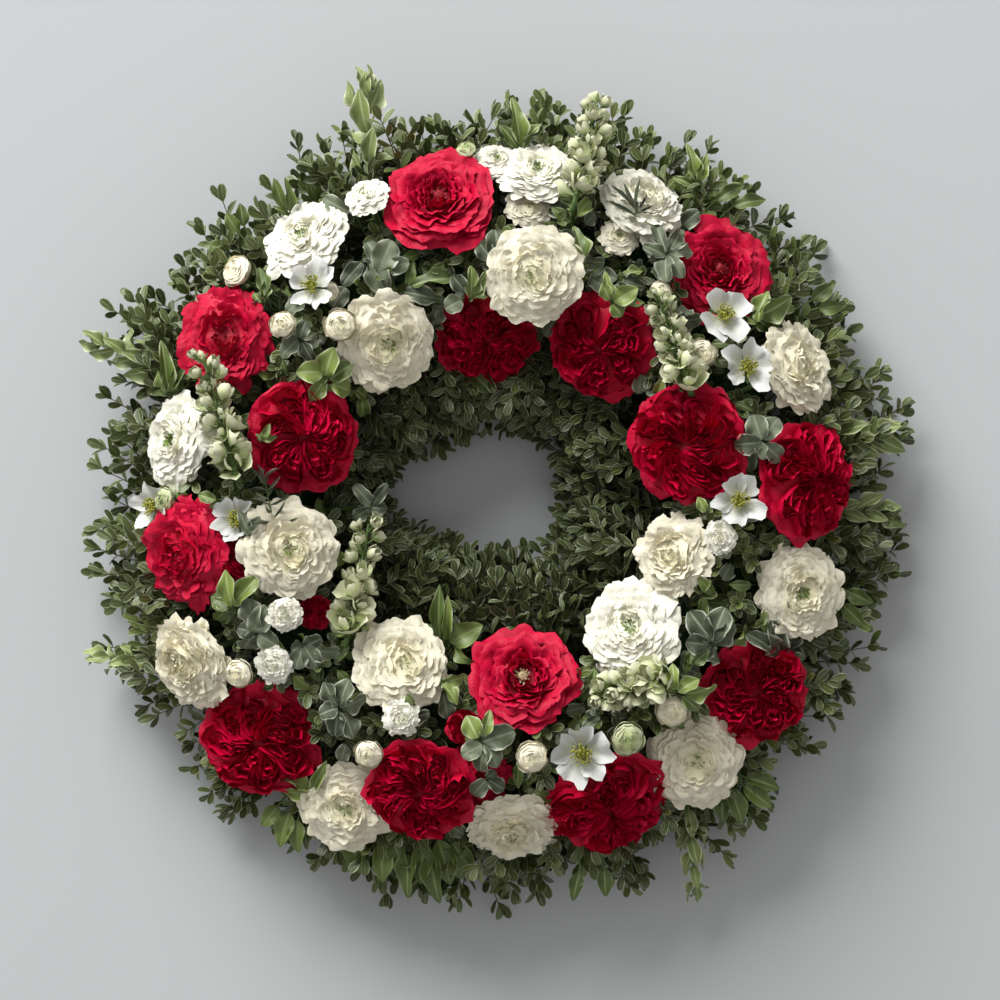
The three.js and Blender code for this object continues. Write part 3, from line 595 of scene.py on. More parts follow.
def set_head(heap, centre, axis, radius, kind, seed, fine=True, squeeze=1.0):
    """Adds a whole bloom with its eye, its calyx and its stem. squeeze narrows it from side to side."""
    sheets, rng = bloom_petals(kind, seed, fine)
    frame_of = basis(axis)
    stretch = np.array([1 + rng.uniform(-0.04, 0.04), 1 + rng.uniform(-0.04, 0.04), 1.0])
    narrower = np.array([squeeze, 1.0, 1.0])
    for made in sheets:
        made = bent(made * stretch, 0.05, 0.9, seed)
        made = bent(made, 0.02, 0.31, seed + 5)
        heap.sheets(centre + radius * made @ frame_of * narrower, PETALS, rng.uniform(0, 1, len(made)))

    top = KINDS[kind]["top"] - KINDS[kind]["hollow"]
    if kind in ("open", "layered"):
        for count, reach, height in EYE_TUFT:
            tuft = petal_ring(rng, count, (0.01, top - 0.2), (0.9 * reach, top - 0.08),
                              (reach, top + height), 0.3, ruffle=0.02, grid=(4, 4))
            heap.sheets(centre + radius * tuft @ frame_of, EYE, rng.uniform(0, 1, count))
    if kind == "open":
        low = centre + radius * (top - 0.08) * unit(axis)
        heap.sheets(pod(low, unit(axis), 0.13 * radius, 0.1 * radius, rng, (6, 10)), EYE, closed=True)

    sepals = petal_ring(rng, 5, (0.03, -0.62), (0.3, -0.62), (0.5, -0.36), 0.5, ruffle=0.03, grid=(6, 6),
                        round_off=0.8)
    heap.sheets(centre + radius * sepals @ frame_of, GREEN, rng.uniform(0, 1, 5))
    calyx = spun(CALYX[:, 0], CALYX[:, 1:], np.linspace(0, math.tau, 10, endpoint=False))
    heap.sheets(centre + radius * (calyx @ frame_of)[None], GREEN, closed=True)
    neck = centre - 0.62 * radius * unit(axis)
    foot = foot_of(centre)
    knee = (neck + foot) / 2 - 0.25 * radius * unit(axis)
    thick = min(2.3, 0.09 * radius)
    stem(heap, foot, knee, neck, thick, thick * 1.05, 8, 7, GREEN)


def set_cup(heap, centre, axis, radius, petals, bearing, seed):
    """Adds a small flower of a few broad petals round a green eye with its ring of stamens."""
    rng = np.random.default_rng(seed)
    frame_of = basis(axis)
    half = 1.5 * math.pi / petals
    ring = petal_ring(rng, petals, (0.07, -0.2), (0.56, -0.14), (0.95, 0.3), half, ruffle=0.13, waves=1.6,
                      round_off=0.46, roll=0.8, turn=bearing, grid=(10, 13), loose=1.3, tuck=0.06)
    heap.sheets(centre + radius * ring @ frame_of, PETALS, rng.uniform(0, 1, petals))

    angle = rng.uniform(0, math.tau, STAMENS)
    spread = rng.uniform(0.12, 0.38, STAMENS)
    tip = np.stack([spread * np.cos(angle), spread * np.sin(angle), rng.uniform(0.08, 0.2, STAMENS)], -1)
    base = tip * [0.3, 0.3, 0] + [0, 0, -0.12]
    base, tip = base @ frame_of * radius + centre, tip @ frame_of * radius + centre
    heap.sheets(tubes(base, (base + tip) / 2, tip, 0.22, 0.2, 3, 3), EYE, rng.uniform(0, 1, STAMENS), True)
    ways = np.repeat(unit(axis)[None], STAMENS, 0)
    beads = pods(tip, ways, np.full(STAMENS, 1.7), np.full(STAMENS, 0.72), rng, (4, 5))
    heap.sheets(beads, EYE, rng.uniform(0, 1, STAMENS), True)
    knob = pod(centre - 0.14 * radius * axis, unit(axis), 0.34 * radius, 0.17 * radius, rng, (6, 9))
    heap.sheets(knob, EYE, np.array([0.2]), True)

    neck = centre - 0.1 * radius * unit(axis)
    foot = foot_of(centre)
    knee = (neck + foot) / 2 + rng.uniform(-5, 5, 3)
    stem(heap, foot, knee, neck, 1.5, 1.2, 6, 8, GREEN)
    sepals = petal_ring(rng, 5, (0.02, -0.2), (0.25, -0.26), (0.55, -0.1), 0.45, grid=(5, 5), round_off=0.9)
    heap.sheets(centre + radius * sepals @ frame_of, GREEN, rng.uniform(0, 1, 5))


def pods(starts, ways, lengths, radii, rng, grid=(7, 9)):
    """Closed egg-shaped buds, each with a few seams between its petals."""
    along, across = grid
    u = np.linspace(0.02, 0.98, along)[None, :, None]
    turn = np.linspace(0, math.tau, across, endpoint=False)[None, None, :]
    phase = rng.uniform(0, 6.3, len(starts))[:, None, None]
    seam = 1 + 0.1 * np.cos(3 * turn + phase + 2.2 * u)
    r = radii[:, None, None] * np.sin(math.pi * u**0.85) ** 0.75 * seam
    ways = unit(ways)
    side = unit(np.cross(ways, [0.2, 0.3, 0.93]))
    over = np.cross(ways, side)
    middle = starts[:, None, None] + ways[:, None, None] * (u * lengths[:, None, None])[..., None]
    return (middle + (r * np.cos(turn))[..., None] * side[:, None, None]
            + (r * np.sin(turn))[..., None] * over[:, None, None])


def pod(start, way, length, radius, rng, grid):
    """One such bud."""
    return pods(start[None], way[None], np.array([length]), np.array([radius]), rng, grid)


# Leaves

def blade(grid, widest=0.5, fullness=0.8, fold=0.25, curl=0.1, wave=0.0, scallop=0.0, lobes=5):
    """A leaf one unit long and one unit wide, along +X with its face up."""
    along, across = grid
    u = np.linspace(0, 1, along)[:, None]
    v = np.linspace(-1, 1, across)[None, :]
    power = math.log(0.5) / math.log(widest)
    half = 0.5 * (0.04 + 0.96 * np.sin(math.pi * np.clip(u, 0.004, 0.996) ** power) ** fullness)
    half = half * (1 + scallop * np.sin(lobes * math.tau * u + 0.6) * np.abs(v))
    x = u + 0 * v + scallop * 0.3 * np.cos(lobes * math.tau * u) * np.abs(v)
    y = half * v
    z = fold * half * np.abs(v) ** 1.3 - curl * (u - 0.15) ** 2 + wave * half * v**2 * np.sin(9 * u + 2 * v)
    return np.stack([x, y, z + 0 * x], -1)


def box_blade():
    """The small blunt leaf of the boxwood."""
    v = np.array([-1.0, 0.0, 1.0])[None]
    x = np.array([0.0, 0.3, 0.64, 0.9, 1.0])[:, None]
    half = 0.5 * np.array([0.12, 0.72, 1.0, 0.76, 0.24])[:, None]
    return np.stack([x + 0 * v, half * v, 0.16 * half * np.abs(v) - 0.16 * (x - 0.2) ** 2], -1)


BOX_BLADE = box_blade()
BLADES = {
    "grey": blade((13, 9), widest=0.55, fullness=0.42, fold=0.22, curl=0.3, wave=0.36, scallop=0.03,
                  lobes=4),
    "lime": blade((13, 9), widest=0.48, fullness=0.68, fold=0.36, curl=0.42, wave=0.34, scallop=0.02,
                  lobes=3),
    "green": blade((13, 7), widest=0.45, fullness=0.75, fold=0.3, curl=0.34, wave=0.24),
    "needle": blade((4, 3), widest=0.5, fullness=0.4, fold=0.3, curl=0.06),
}


def leaves(origins, ways, faces, lengths, widths, form):
    """Copies of a leaf: each starts at its origin, runs its own way and turns its face to a given side."""
    x = unit(ways)
    y = unit(np.cross(faces, x))
    z = np.cross(x, y)
    flat = form.reshape(-1, 3)
    points = (origins[:, None] + x[:, None] * (flat[None, :, :1] * lengths[:, None, None])
              + y[:, None] * (flat[None, :, 1:2] * widths[:, None, None])
              + z[:, None] * (flat[None, :, 2:] * lengths[:, None, None]))
    return points.reshape(len(origins), *form.shape)


def one_leaf(start, way, face, length, width, form):
    """One such copy."""
    return leaves(start[None], way[None], face[None], np.array([length]), np.array([width]), form)


def clear_of_heads(points, heads, margin=0.96):
    """Which points lie neither in a bloom nor over its face."""
    free = np.ones(len(points), bool)
    for centre, axis, radius in heads:
        offset = points - centre
        height = offset @ unit(axis)
        across = np.linalg.norm(offset - height[:, None] * unit(axis), axis=1)
        free &= ~((across < margin * radius) & (height > -0.5 * radius))
    return free


def twig_with_leaves(heap, rng, starts, middles, ends, pairs, bare, size, form, width_share, clear=(),
                     thick=0.8, opening=0.9, painted_light_and_shade_scale=1.0):
    """Twigs with pairs of leaves, each pair turned a quarter from the last, and two more leaves at the tip.

    bare is the share of the twig before the first pair, opening the angle between a leaf and its twig, and
    the last argument scales the tones of the leaves: above one it paints light on them, below one it paints
    shade.
    Leaves that would lie in a head of clear are left out.
    """
    count = len(starts)
    twigs = tubes(starts, middles, ends, thick, 0.45 * thick, 3, 5)
    heap.sheets(twigs, STEMS, rng.uniform(0, 1, count), True)
    t = bare + (1 - bare) * (np.arange(pairs) + 0.5) / pairs
    t = np.concatenate([np.repeat(t, 2), [0.97, 0.985]])
    side = np.concatenate([np.tile([0.0, math.pi], pairs), [0.3, math.pi + 0.3]])
    quarter = np.concatenate([np.repeat(np.arange(pairs) % 2, 2), [pairs % 2] * 2]) * math.pi / 2
    t = np.clip(t[None] + rng.uniform(-0.02, 0.02, (count, len(t))), 0, 1)[..., None]
    line = ((1 - t) ** 2 * starts[:, None] + 2 * t * (1 - t) * middles[:, None] + t**2 * ends[:, None])
    along = unit(2 * (1 - t) * (middles - starts)[:, None] + 2 * t * (ends - middles)[:, None])
    across = unit(np.cross(along, UP + 1e-3))
    over = np.cross(across, along)
    spin = (side + quarter)[None] + rng.uniform(0, 3.1, (count, 1)) + rng.uniform(-0.4, 0.4, t.shape[:2])
    out = np.cos(spin)[..., None] * across + np.sin(spin)[..., None] * over
    open_by = opening * rng.uniform(0.75, 1.25, t.shape)
    open_by = np.where(t > 0.96, 0.45 * open_by, open_by)
    way = np.cos(open_by) * along + np.sin(open_by) * out
    face = np.sin(open_by) * along - np.cos(open_by) * out + rng.uniform(-0.35, 0.35, way.shape)
    face = np.where((face @ UP)[..., None] < 0, -face, face) + 0.7 * LIGHT_WAY
    shrink = 1 - 0.25 * t[..., 0] ** 2
    lengths = size * shrink * rng.uniform(0.75, 1.2, t.shape[:2])
    origins, way, face = line.reshape(-1, 3), way.reshape(-1, 3), face.reshape(-1, 3)
    lengths = lengths.ravel()
    free = clear_of_heads(origins + way * lengths[:, None] * 0.7, clear)
    free &= (origins + way * lengths[:, None])[:, 2] > 1
    tones = np.repeat(rng.uniform(0, 1, count), t.shape[1]) * 0.6 + rng.uniform(0, 0.4, len(origins))
    # Scaling the tones paints light on the leaves when they get lighter and shade when they get darker
    tones = (painted_light_and_shade_scale * tones).clip(0, 1)
    made = leaves(origins[free], way[free], face[free], lengths[free], lengths[free] * width_share, form)
    heap.sheets(made, LEAVES, tones[free])


# Finishes

PLAIN_GLOW = (1.0, 1.0, 1.0)
PETAL_SCATTER = (0.003, 0.0028, 0.002)


def new_finish(name):
    """A new finish, its nodes and its shader."""
    material = bpy.data.materials.new(name)
    material.use_nodes = True
    tree = material.node_tree
    return material, tree, tree.nodes["Principled BSDF"]


def fill(tree, node, values):
    """Fills the inputs of a node, by name or number, with values or with the outputs of other nodes."""
    for key, value in values.items():
        if isinstance(value, bpy.types.NodeSocket):
            tree.links.new(value, node.inputs[key])
        else:
            node.inputs[key].default_value = value


def maths(tree, operation, a, b=0.0, c=0.0, clamp=False):
    node = tree.nodes.new("ShaderNodeMath")
    node.operation = operation
    node.use_clamp = clamp
    fill(tree, node, {0: a, 1: b, 2: c})
    return node.outputs[0]


def mixed(tree, share, a, b):
    """Two colours, mixed by a share that goes from 0 for the first to 1 for the second."""
    node = tree.nodes.new("ShaderNodeMix")
    node.data_type = "RGBA"
    places = {socket.name: place for place, socket in enumerate(node.inputs) if socket.enabled}
    a, b = (colour if isinstance(colour, bpy.types.NodeSocket) else (*colour, 1.0) for colour in (a, b))
    fill(tree, node, {places["Factor"]: share, places["A"]: a, places["B"]: b})
    return [socket for socket in node.outputs if socket.enabled][0]


def ramp(tree, share, stops):
    """A colour or a grey that changes with a share. Each stop is a position and its colour or grey."""
    node = tree.nodes.new("ShaderNodeValToRGB")
    fill(tree, node, {0: share})
    elements = node.color_ramp.elements
    while len(elements) < len(stops):
        elements.new(0.5)
    for element, (position, colour) in zip(elements, stops):
        element.position = position
        element.color = (*colour, 1.0) if hasattr(colour, "__len__") else (colour, colour, colour, 1.0)
    return node.outputs[0]


def grain(tree, vector, scale, detail, roughness, w=None):
    """Noise from 0 to 1. w moves it on, so that each petal has its own."""
    node = tree.nodes.new("ShaderNodeTexNoise")
    node.noise_dimensions = "3D" if w is None else "4D"
    fill(tree, node, {"Vector": vector, "Scale": scale, "Detail": detail, "Roughness": roughness})
    if w is not None:
        fill(tree, node, {"W": w})
    return node.outputs["Fac"]


def coordinates(tree):
    """Tone, place across, place along, and the object's own coordinates."""
    tone = tree.nodes.new("ShaderNodeAttribute")
    tone.attribute_name = "tone"
    source = tree.nodes.new("ShaderNodeTexCoord")
    split = tree.nodes.new("ShaderNodeSeparateXYZ")
    fill(tree, split, {0: source.outputs["UV"]})
    return tone.outputs["Fac"], split.outputs[0], split.outputs[1], source.outputs["Object"]


def bump(tree, shader, height, strength, distance):
    node = tree.nodes.new("ShaderNodeBump")
    fill(tree, node, {"Strength": strength, "Distance": distance, "Height": height})
    fill(tree, shader, {"Normal": node.outputs[0]})


def petal_finish(name, base, body, edge, vein, vein_share, roughness=0.5, sheen=0.1, subsurface=0.0,
                 glow=PLAIN_GLOW):
    """Petals: darker or greener at the foot, paler at the edge, with fine veins that run to the edge."""
    material, tree, shader = new_finish(name)
    tone, across, along, place = coordinates(tree)
    narrow = tree.nodes.new("ShaderNodeCombineXYZ")
    fill(tree, narrow, {0: maths(tree, "MULTIPLY", across, 15.0), 1: along})
    veins = grain(tree, narrow.outputs[0], 2.6, 3.0, 0.6, maths(tree, "MULTIPLY", tone, 37.0))
    clouds = grain(tree, place, 55.0, 3.0, 0.55)
    colour = ramp(tree, along, [(0.0, base), (0.5, body), (1.0, edge)])
    colour = mixed(tree, maths(tree, "MULTIPLY", veins, vein_share), colour, vein)
    value = maths(tree, "MULTIPLY_ADD", tone, 0.16, 0.92)
    value = maths(tree, "MULTIPLY", value, maths(tree, "MULTIPLY_ADD", clouds, 0.2, 0.9))
    shade = tree.nodes.new("ShaderNodeHueSaturation")
    fill(tree, shade, {"Value": value, "Color": colour})
    fill(tree, shader, {
        "Base Color": shade.outputs[0], "Roughness": roughness, "Specular IOR Level": 0.22,
        "Sheen Weight": sheen, "Sheen Roughness": 0.5, "Sheen Tint": (*glow, 1.0),
        "Subsurface Weight": subsurface, "Subsurface Radius": PETAL_SCATTER, "Subsurface Scale": 1.0})
    relief = maths(tree, "ADD", veins, maths(tree, "MULTIPLY", clouds, 0.4))
    bump(tree, shader, relief, 0.65, 0.001)
    return material


def leaf_finish(name, dark, light, rib, rim, rim_share, roughness, specular, vein_bump=0.5, mottled=0.5):
    """Leaves: a pale rib, side veins, a rim of another colour, and a tone that changes from leaf to leaf.
    On the boxwood leaves that pale rim is a painted highlight along their glossy edges.

    rim_share is the rim's width, and mottled says how far the tone changes in patches within a leaf.
    """
    material, tree, shader = new_finish(name)
    tone, across, along, place = coordinates(tree)
    off_middle = maths(tree, "ABSOLUTE", maths(tree, "SUBTRACT", across, 0.5))
    patches = grain(tree, place, 120.0, 3.0, 0.6)
    clouded = maths(tree, "MULTIPLY_ADD", patches, mottled, -0.5 * mottled)
    colour = mixed(tree, maths(tree, "ADD", tone, clouded, clamp=True), dark, light)
    slant = maths(tree, "MULTIPLY", off_middle, 34.0)
    slant = maths(tree, "SUBTRACT", maths(tree, "MULTIPLY", along, 46.0), slant)
    lines = maths(tree, "ABSOLUTE", maths(tree, "SINE", slant))
    lines = maths(tree, "MULTIPLY", maths(tree, "POWER", lines, 6.0), 0.22)
    colour = mixed(tree, lines, colour, rib)
    middle = ramp(tree, off_middle, [(0.0, 1.0), (0.035, 0.75), (0.07, 0.0)])
    colour = mixed(tree, maths(tree, "MULTIPLY", middle, 0.75), colour, rib)
    border = maths(tree, "ADD", off_middle, maths(tree, "MULTIPLY_ADD", patches, 0.16, -0.08))
    border = ramp(tree, border, [(0.0, 0.0), (0.5 - rim_share, 0.0), (0.5, 1.0)])
    colour = mixed(tree, maths(tree, "MULTIPLY", border, 0.85), colour, rim)
    rough = maths(tree, "MULTIPLY_ADD", patches, 0.2, roughness - 0.1)
    fill(tree, shader, {"Base Color": colour, "Roughness": rough, "Specular IOR Level": specular})
    height = maths(tree, "ADD", maths(tree, "MULTIPLY", lines, -1.2), maths(tree, "MULTIPLY", patches, 0.3))
    bump(tree, shader, height, vein_bump, 0.0006)
    return material


def plain_finish(name, low, high, scale, roughness, specular, depth, detail=4.0):
    """Stems, eyes, foam and plastic: two colours in a fine grain, with bump from the same grain."""
    material, tree, shader = new_finish(name)
    tone, _, _, place = coordinates(tree)
    coarse = grain(tree, place, scale, detail, 0.6)
    fine = grain(tree, place, scale * 4.3, 2.0, 0.6)
    share = maths(tree, "ADD", maths(tree, "MULTIPLY_ADD", coarse, 1.6, -0.5),
                  maths(tree, "MULTIPLY_ADD", tone, 0.4, -0.2), clamp=True)
    rough = maths(tree, "MULTIPLY_ADD", fine, 0.3, roughness - 0.15)
    fill(tree, shader, {"Base Color": mixed(tree, share, low, high), "Roughness": rough,
                        "Specular IOR Level": specular})
    bump(tree, shader, maths(tree, "ADD", coarse, fine), 0.6, depth)
    return material


# The colours are red, green and blue in linear light, in the order of the arguments above
# The paler edge colour of the red petals is a painted highlight along the edges, where light catches them
RED = petal_finish("red_petals", (0.20, 0.0, 0.010), (0.56, 0.0006, 0.034), (0.66, 0.001, 0.048),
                   (0.28, 0.0, 0.012), vein_share=0.45, sheen=0.0)
WHITE = petal_finish("white_petals", (0.76, 0.78, 0.56), (0.915, 0.895, 0.755), (0.935, 0.92, 0.805),
                     (0.82, 0.80, 0.62), vein_share=0.35, roughness=0.6, sheen=0.12, subsurface=0.2)
CREAM = petal_finish("cream_petals", (0.70, 0.68, 0.42), (0.93, 0.875, 0.67), (0.95, 0.905, 0.74),
                     (0.76, 0.69, 0.48), vein_share=0.5, roughness=0.6, sheen=0.15,
                     subsurface=0.2, glow=(1.0, 1.0, 0.95))
CUP = petal_finish("cup_petals", (0.50, 0.54, 0.28), (0.72, 0.72, 0.68), (0.80, 0.80, 0.78),
                   (0.52, 0.54, 0.52), vein_share=0.6)
GREEN_BUD = petal_finish("green_bud", (0.24, 0.34, 0.10), (0.52, 0.56, 0.30), (0.72, 0.72, 0.52),
                         (0.36, 0.44, 0.18), vein_share=0.5, roughness=0.55)
FLORET = petal_finish("florets", (0.30, 0.42, 0.12), (0.76, 0.77, 0.52), (0.89, 0.88, 0.72),
                      (0.54, 0.60, 0.30), vein_share=0.5)
# The eyes of all flowers: scale of the grain, roughness, specular and depth of the bump
EYE_GRAIN = (900.0, 0.6, 0.4, 0.0004)
GREEN_EYE = plain_finish("green_eye", (0.11, 0.20, 0.02), (0.36, 0.46, 0.09), *EYE_GRAIN)
TAN_EYE = plain_finish("tan_eye", (0.34, 0.24, 0.12), (0.62, 0.54, 0.36), *EYE_GRAIN)
RED_EYE = plain_finish("red_eye", (0.18, 0.0, 0.01), (0.5, 0.02, 0.03), *EYE_GRAIN)
YELLOW_EYE = plain_finish("yellow_eye", (0.24, 0.28, 0.03), (0.62, 0.52, 0.10), *EYE_GRAIN)
STEM = plain_finish("stems", (0.06, 0.12, 0.03), (0.16, 0.24, 0.07), 260.0, 0.5, 0.4, 0.0005)
TWIG = plain_finish("twigs", (0.08, 0.06, 0.03), (0.16, 0.17, 0.08), 300.0, 0.7, 0.3, 0.0005)
# The pale rim of the boxwood leaves is a painted highlight along their glossy edges
BOX_LEAF = leaf_finish("boxwood_leaves", (0.012, 0.022, 0.005), (0.110, 0.145, 0.032), (0.24, 0.28, 0.11),
                       (0.50, 0.54, 0.32), rim_share=0.12, roughness=0.32, specular=0.65)
GREEN_LEAF = leaf_finish("green_leaves", (0.050, 0.085, 0.018), (0.13, 0.185, 0.040), (0.26, 0.32, 0.11),
                         (0.24, 0.30, 0.11), rim_share=0.08, roughness=0.38, specular=0.5)
LIME_LEAF = leaf_finish("lime_leaves", (0.08, 0.13, 0.02), (0.21, 0.285, 0.055), (0.42, 0.48, 0.22),
                        (0.54, 0.58, 0.36), rim_share=0.10, roughness=0.38, specular=0.5)
PALE_EDGED_LEAF = leaf_finish("pale_edged_leaves", (0.10, 0.15, 0.035), (0.27, 0.34, 0.11),
                              (0.50, 0.54, 0.28), (0.68, 0.69, 0.47), rim_share=0.13, roughness=0.4,
                              specular=0.5)
GREY_LEAF = leaf_finish("grey_leaves", (0.040, 0.056, 0.030), (0.19, 0.225, 0.14), (0.32, 0.36, 0.25),
                        (0.60, 0.62, 0.50), rim_share=0.09, roughness=0.5, specular=0.4,
                        vein_bump=1.0, mottled=1.3)
FOAM = plain_finish("floral_foam", (0.03, 0.075, 0.03), (0.07, 0.15, 0.06), 420.0, 0.95, 0.1, 0.0012, 6.0)
TRAY = plain_finish("tray_plastic", (0.010, 0.024, 0.013), (0.016, 0.036, 0.02), 160.0, 0.4, 0.5, 0.0002)
LEAF_FINISHES = {"grey": GREY_LEAF, "lime": LIME_LEAF, "green": GREEN_LEAF, "needle": GREY_LEAF}
PETAL_FINISHES = {"white": WHITE, "cream": CREAM, "green": GREEN_BUD, "red": RED}

for node, finish in (("tray", TRAY), ("foam_ring", FOAM)):
    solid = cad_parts[node]
    solid.data.materials.clear()
    solid.data.materials.append(finish)

# The heads that leaves keep clear of, each as centre, axis and radius
heads = []


def place_of(name, x, y, lift):
    """The centre and the axis of a large bloom."""
    return place_over_ring(x, y, lift, SMALL_LEAN_SHARE if name in UPRIGHT_BLOOMS else LEAN_SHARE)


def place_at(px, py, lift):
    """The centre and the axis of a small head that shows at a pixel."""
    spot = at(px, py, lift)
    _, axis = place_over_ring(spot[0] - RING_CENTRE[0], spot[1] - RING_CENTRE[1], lift)
    return spot, axis


def bloom(piece, place, radius, kind, seed, finishes, replaced=(), fine=True, squeeze=1.0):
    """Makes the piece of one bloom."""
    heads.append((*place, radius))
    heap = Heap()
    set_head(heap, *place, radius, kind, seed, fine, squeeze)
    heap.build(piece, finishes, replaced)


def cup_flower(piece, place, radius, petals, bearing, seed, replaced=()):
    """Makes the piece of one cup-shaped flower."""
    heads.append((*place, radius))
    heap = Heap()
    set_cup(heap, *place, radius, petals, bearing, seed)
    heap.build(piece, [CUP, STEM, YELLOW_EYE], replaced)


for number, (name, (x, y, diameter, lift, kind)) in enumerate(RED_BLOOMS.items()):
    finishes = [RED, STEM, TAN_EYE if name == TAN_EYED_BLOOM else RED_EYE]
    bloom(f"petals_{name}", place_of(name, x, y, lift), diameter / 2, kind, number + SEEDS["red"],
          finishes, [name], squeeze=SQUEEZED.get(name, 1.0))

for number, (name, (x, y, diameter, lift, kind, tint)) in enumerate(WHITE_BLOOMS.items()):
    finishes = [PETAL_FINISHES[tint], STEM, GREEN_EYE]
    bloom(f"petals_{name}", place_of(name, x, y, lift), diameter / 2, kind, number + SEEDS["white"],
          finishes, [name], squeeze=SQUEEZED.get(name, 1.0))

for number, (px, py, size, lift, kind, tint) in enumerate(SMALL_BLOOMS):
    finishes = [PETAL_FINISHES[tint], STEM, GREEN_EYE]
    bloom(f"small_bloom_{number + 1:02d}", place_at(px, py, lift), size * PIXEL, kind,
          number + SEEDS["small"], finishes, fine=False)

for number, (name, (x, y, diameter, lift, petals, bearing)) in enumerate(CUP_FLOWERS.items()):
    cup_flower(f"petals_{name}", place_over_ring(x, y, lift), diameter / 2, petals, bearing,
               number + SEEDS["cup"], [name])

for number, (px, py, size, lift, petals, bearing) in enumerate(SMALL_CUPS):
    cup_flower(f"small_cup_{number + 1}", place_at(px, py, lift), size * PIXEL, petals, bearing,
               number + SEEDS["small_cup"])

# The flower spikes: florets that wind round a stalk and get smaller towards its tip. SPIKE_LEAVES is the
# place of the finish of their leaves
SPIKE_LEAVES = 2
FLORETS = 19
FLORET_TURN = 2.4
FLORET_RADIUS = 9.8
OPEN_FLORETS = 0.4
USUAL_WIDTH = 26


def floret(heap, rng, middle, way, radius, share):
    """Adds a floret with its inner petals and small green sepals. share is its place along the stalk."""
    turned = basis(unit(way + rng.uniform(-0.25, 0.25, 3)))
    spread = rng.uniform(0.4, 0.8) if share > OPEN_FLORETS else rng.uniform(0.7, 1.05)
    shell = petal_ring(rng, 4, (0.06, -0.85), (1.0, -0.35), (spread, 0.7 - 0.4 * spread), 0.95, ruffle=0.08,
                       waves=1.4, grid=(7, 8), round_off=0.42, roll=0.8)
    heart = petal_ring(rng, 3, (0.06, -0.7), (0.75, -0.2), (0.26, 0.52), 1.15, ruffle=0.05, waves=1.2,
                       grid=(6, 7), round_off=0.4, roll=0.3)
    for sheets in (shell, heart):
        heap.sheets(middle + radius * sheets @ turned, PETALS, rng.uniform(0, 1, len(sheets)))
    sepals = petal_ring(rng, 3, (0.05, -0.95), (0.7, -0.75), (0.9, -0.3), 0.5, grid=(4, 4), round_off=0.9)
    heap.sheets(middle + radius * sepals @ turned, SPIKE_LEAVES, rng.uniform(0, 1, 3))


for number, (name, (x0, y0, x1, y1, z0, z1, width)) in enumerate(FLOWER_SPIKES.items()):
    rng = np.random.default_rng(number + SEEDS["spike"])
    heap = Heap()
    low = np.array([x0, y0, z0]) + RING_CENTRE
    high = np.array([x1, y1, z1]) + RING_CENTRE
    along = unit(high - low)
    frame_of = basis(along)
    stem(heap, foot_of(low), low - 14 * along, low, 2.2, 1.9, 6, 7, GREEN)
    stem(heap, low, (low + high) / 2, high, 1.9, 0.9, 6, 5, GREEN)
    t = (np.arange(FLORETS) + 0.5) / FLORETS
    spin = np.arange(FLORETS) * FLORET_TURN + rng.uniform(-0.3, 0.3, FLORETS)
    out = np.cos(spin)[:, None] * frame_of[0] + np.sin(spin)[:, None] * frame_of[1]
    place = low + (high - low) * t[:, None]
    lean = 0.55 + 0.5 * t[:, None]
    way = unit(out + lean * along + 0.15 * UP)
    size = (1.15 - 0.6 * t) * rng.uniform(0.85, 1.15, FLORETS) * width / USUAL_WIDTH
    reach = (width * 0.5 - 7.5 * size).clip(0.8, None)[:, None]
    start = place + way * reach
    stalks = tubes(place, (place + start) / 2 - along, start, 0.7, 0.9, 5, 4)
    heap.sheets(stalks, GREEN, rng.uniform(0, 1, FLORETS), True)
    middle = start + way * 4.6 * size[:, None]
    middle[:, 2] = np.minimum(middle[:, 2], HIGHEST + 1)
    for k in range(FLORETS):
        floret(heap, rng, middle[k], way[k], FLORET_RADIUS * size[k], t[k])
    bracts = np.arange(1, FLORETS, 3)
    faces = rng.uniform(-1, 1, (len(bracts), 3)) + UP
    made = leaves(place[bracts], way[bracts] + 0.5 * UP, faces, 13 * size[bracts], 6 * size[bracts],
                  BLADES["lime"])
    heap.sheets(made, SPIKE_LEAVES, rng.uniform(0, 1, len(bracts)))
    heap.build(f"florets_{name}", [FLORET, STEM, LIME_LEAF], [name])

# The broad-leaved sprigs that reach past the boxwood
for number, (name, (x0, y0, x1, y1, z0, z1, leaf_length)) in enumerate(LEAF_SPRIGS.items()):
    rng = np.random.default_rng(number + SEEDS["sprig"])
    heap = Heap()
    low = np.array([x0, y0, z0]) + RING_CENTRE
    high = np.array([x1, y1, z1]) + RING_CENTRE
    tip = high - unit(high - low) * leaf_length * 0.8
    foot = foot_of(low)
    stem(heap, foot, (foot + low) / 2, low, 1.7, 1.6, 6, 5, STEMS)
    middle = (low + tip) / 2 + UP * 5
    twig_with_leaves(heap, rng, low[None], middle[None], tip[None], pairs=6, bare=0.1,
                     size=leaf_length * 1.02, form=BLADES["green"], width_share=0.5, thick=1.5,
                     opening=0.66)
    heap.build(f"leaves_{name}", [STEM, PALE_EDGED_LEAF], [name])

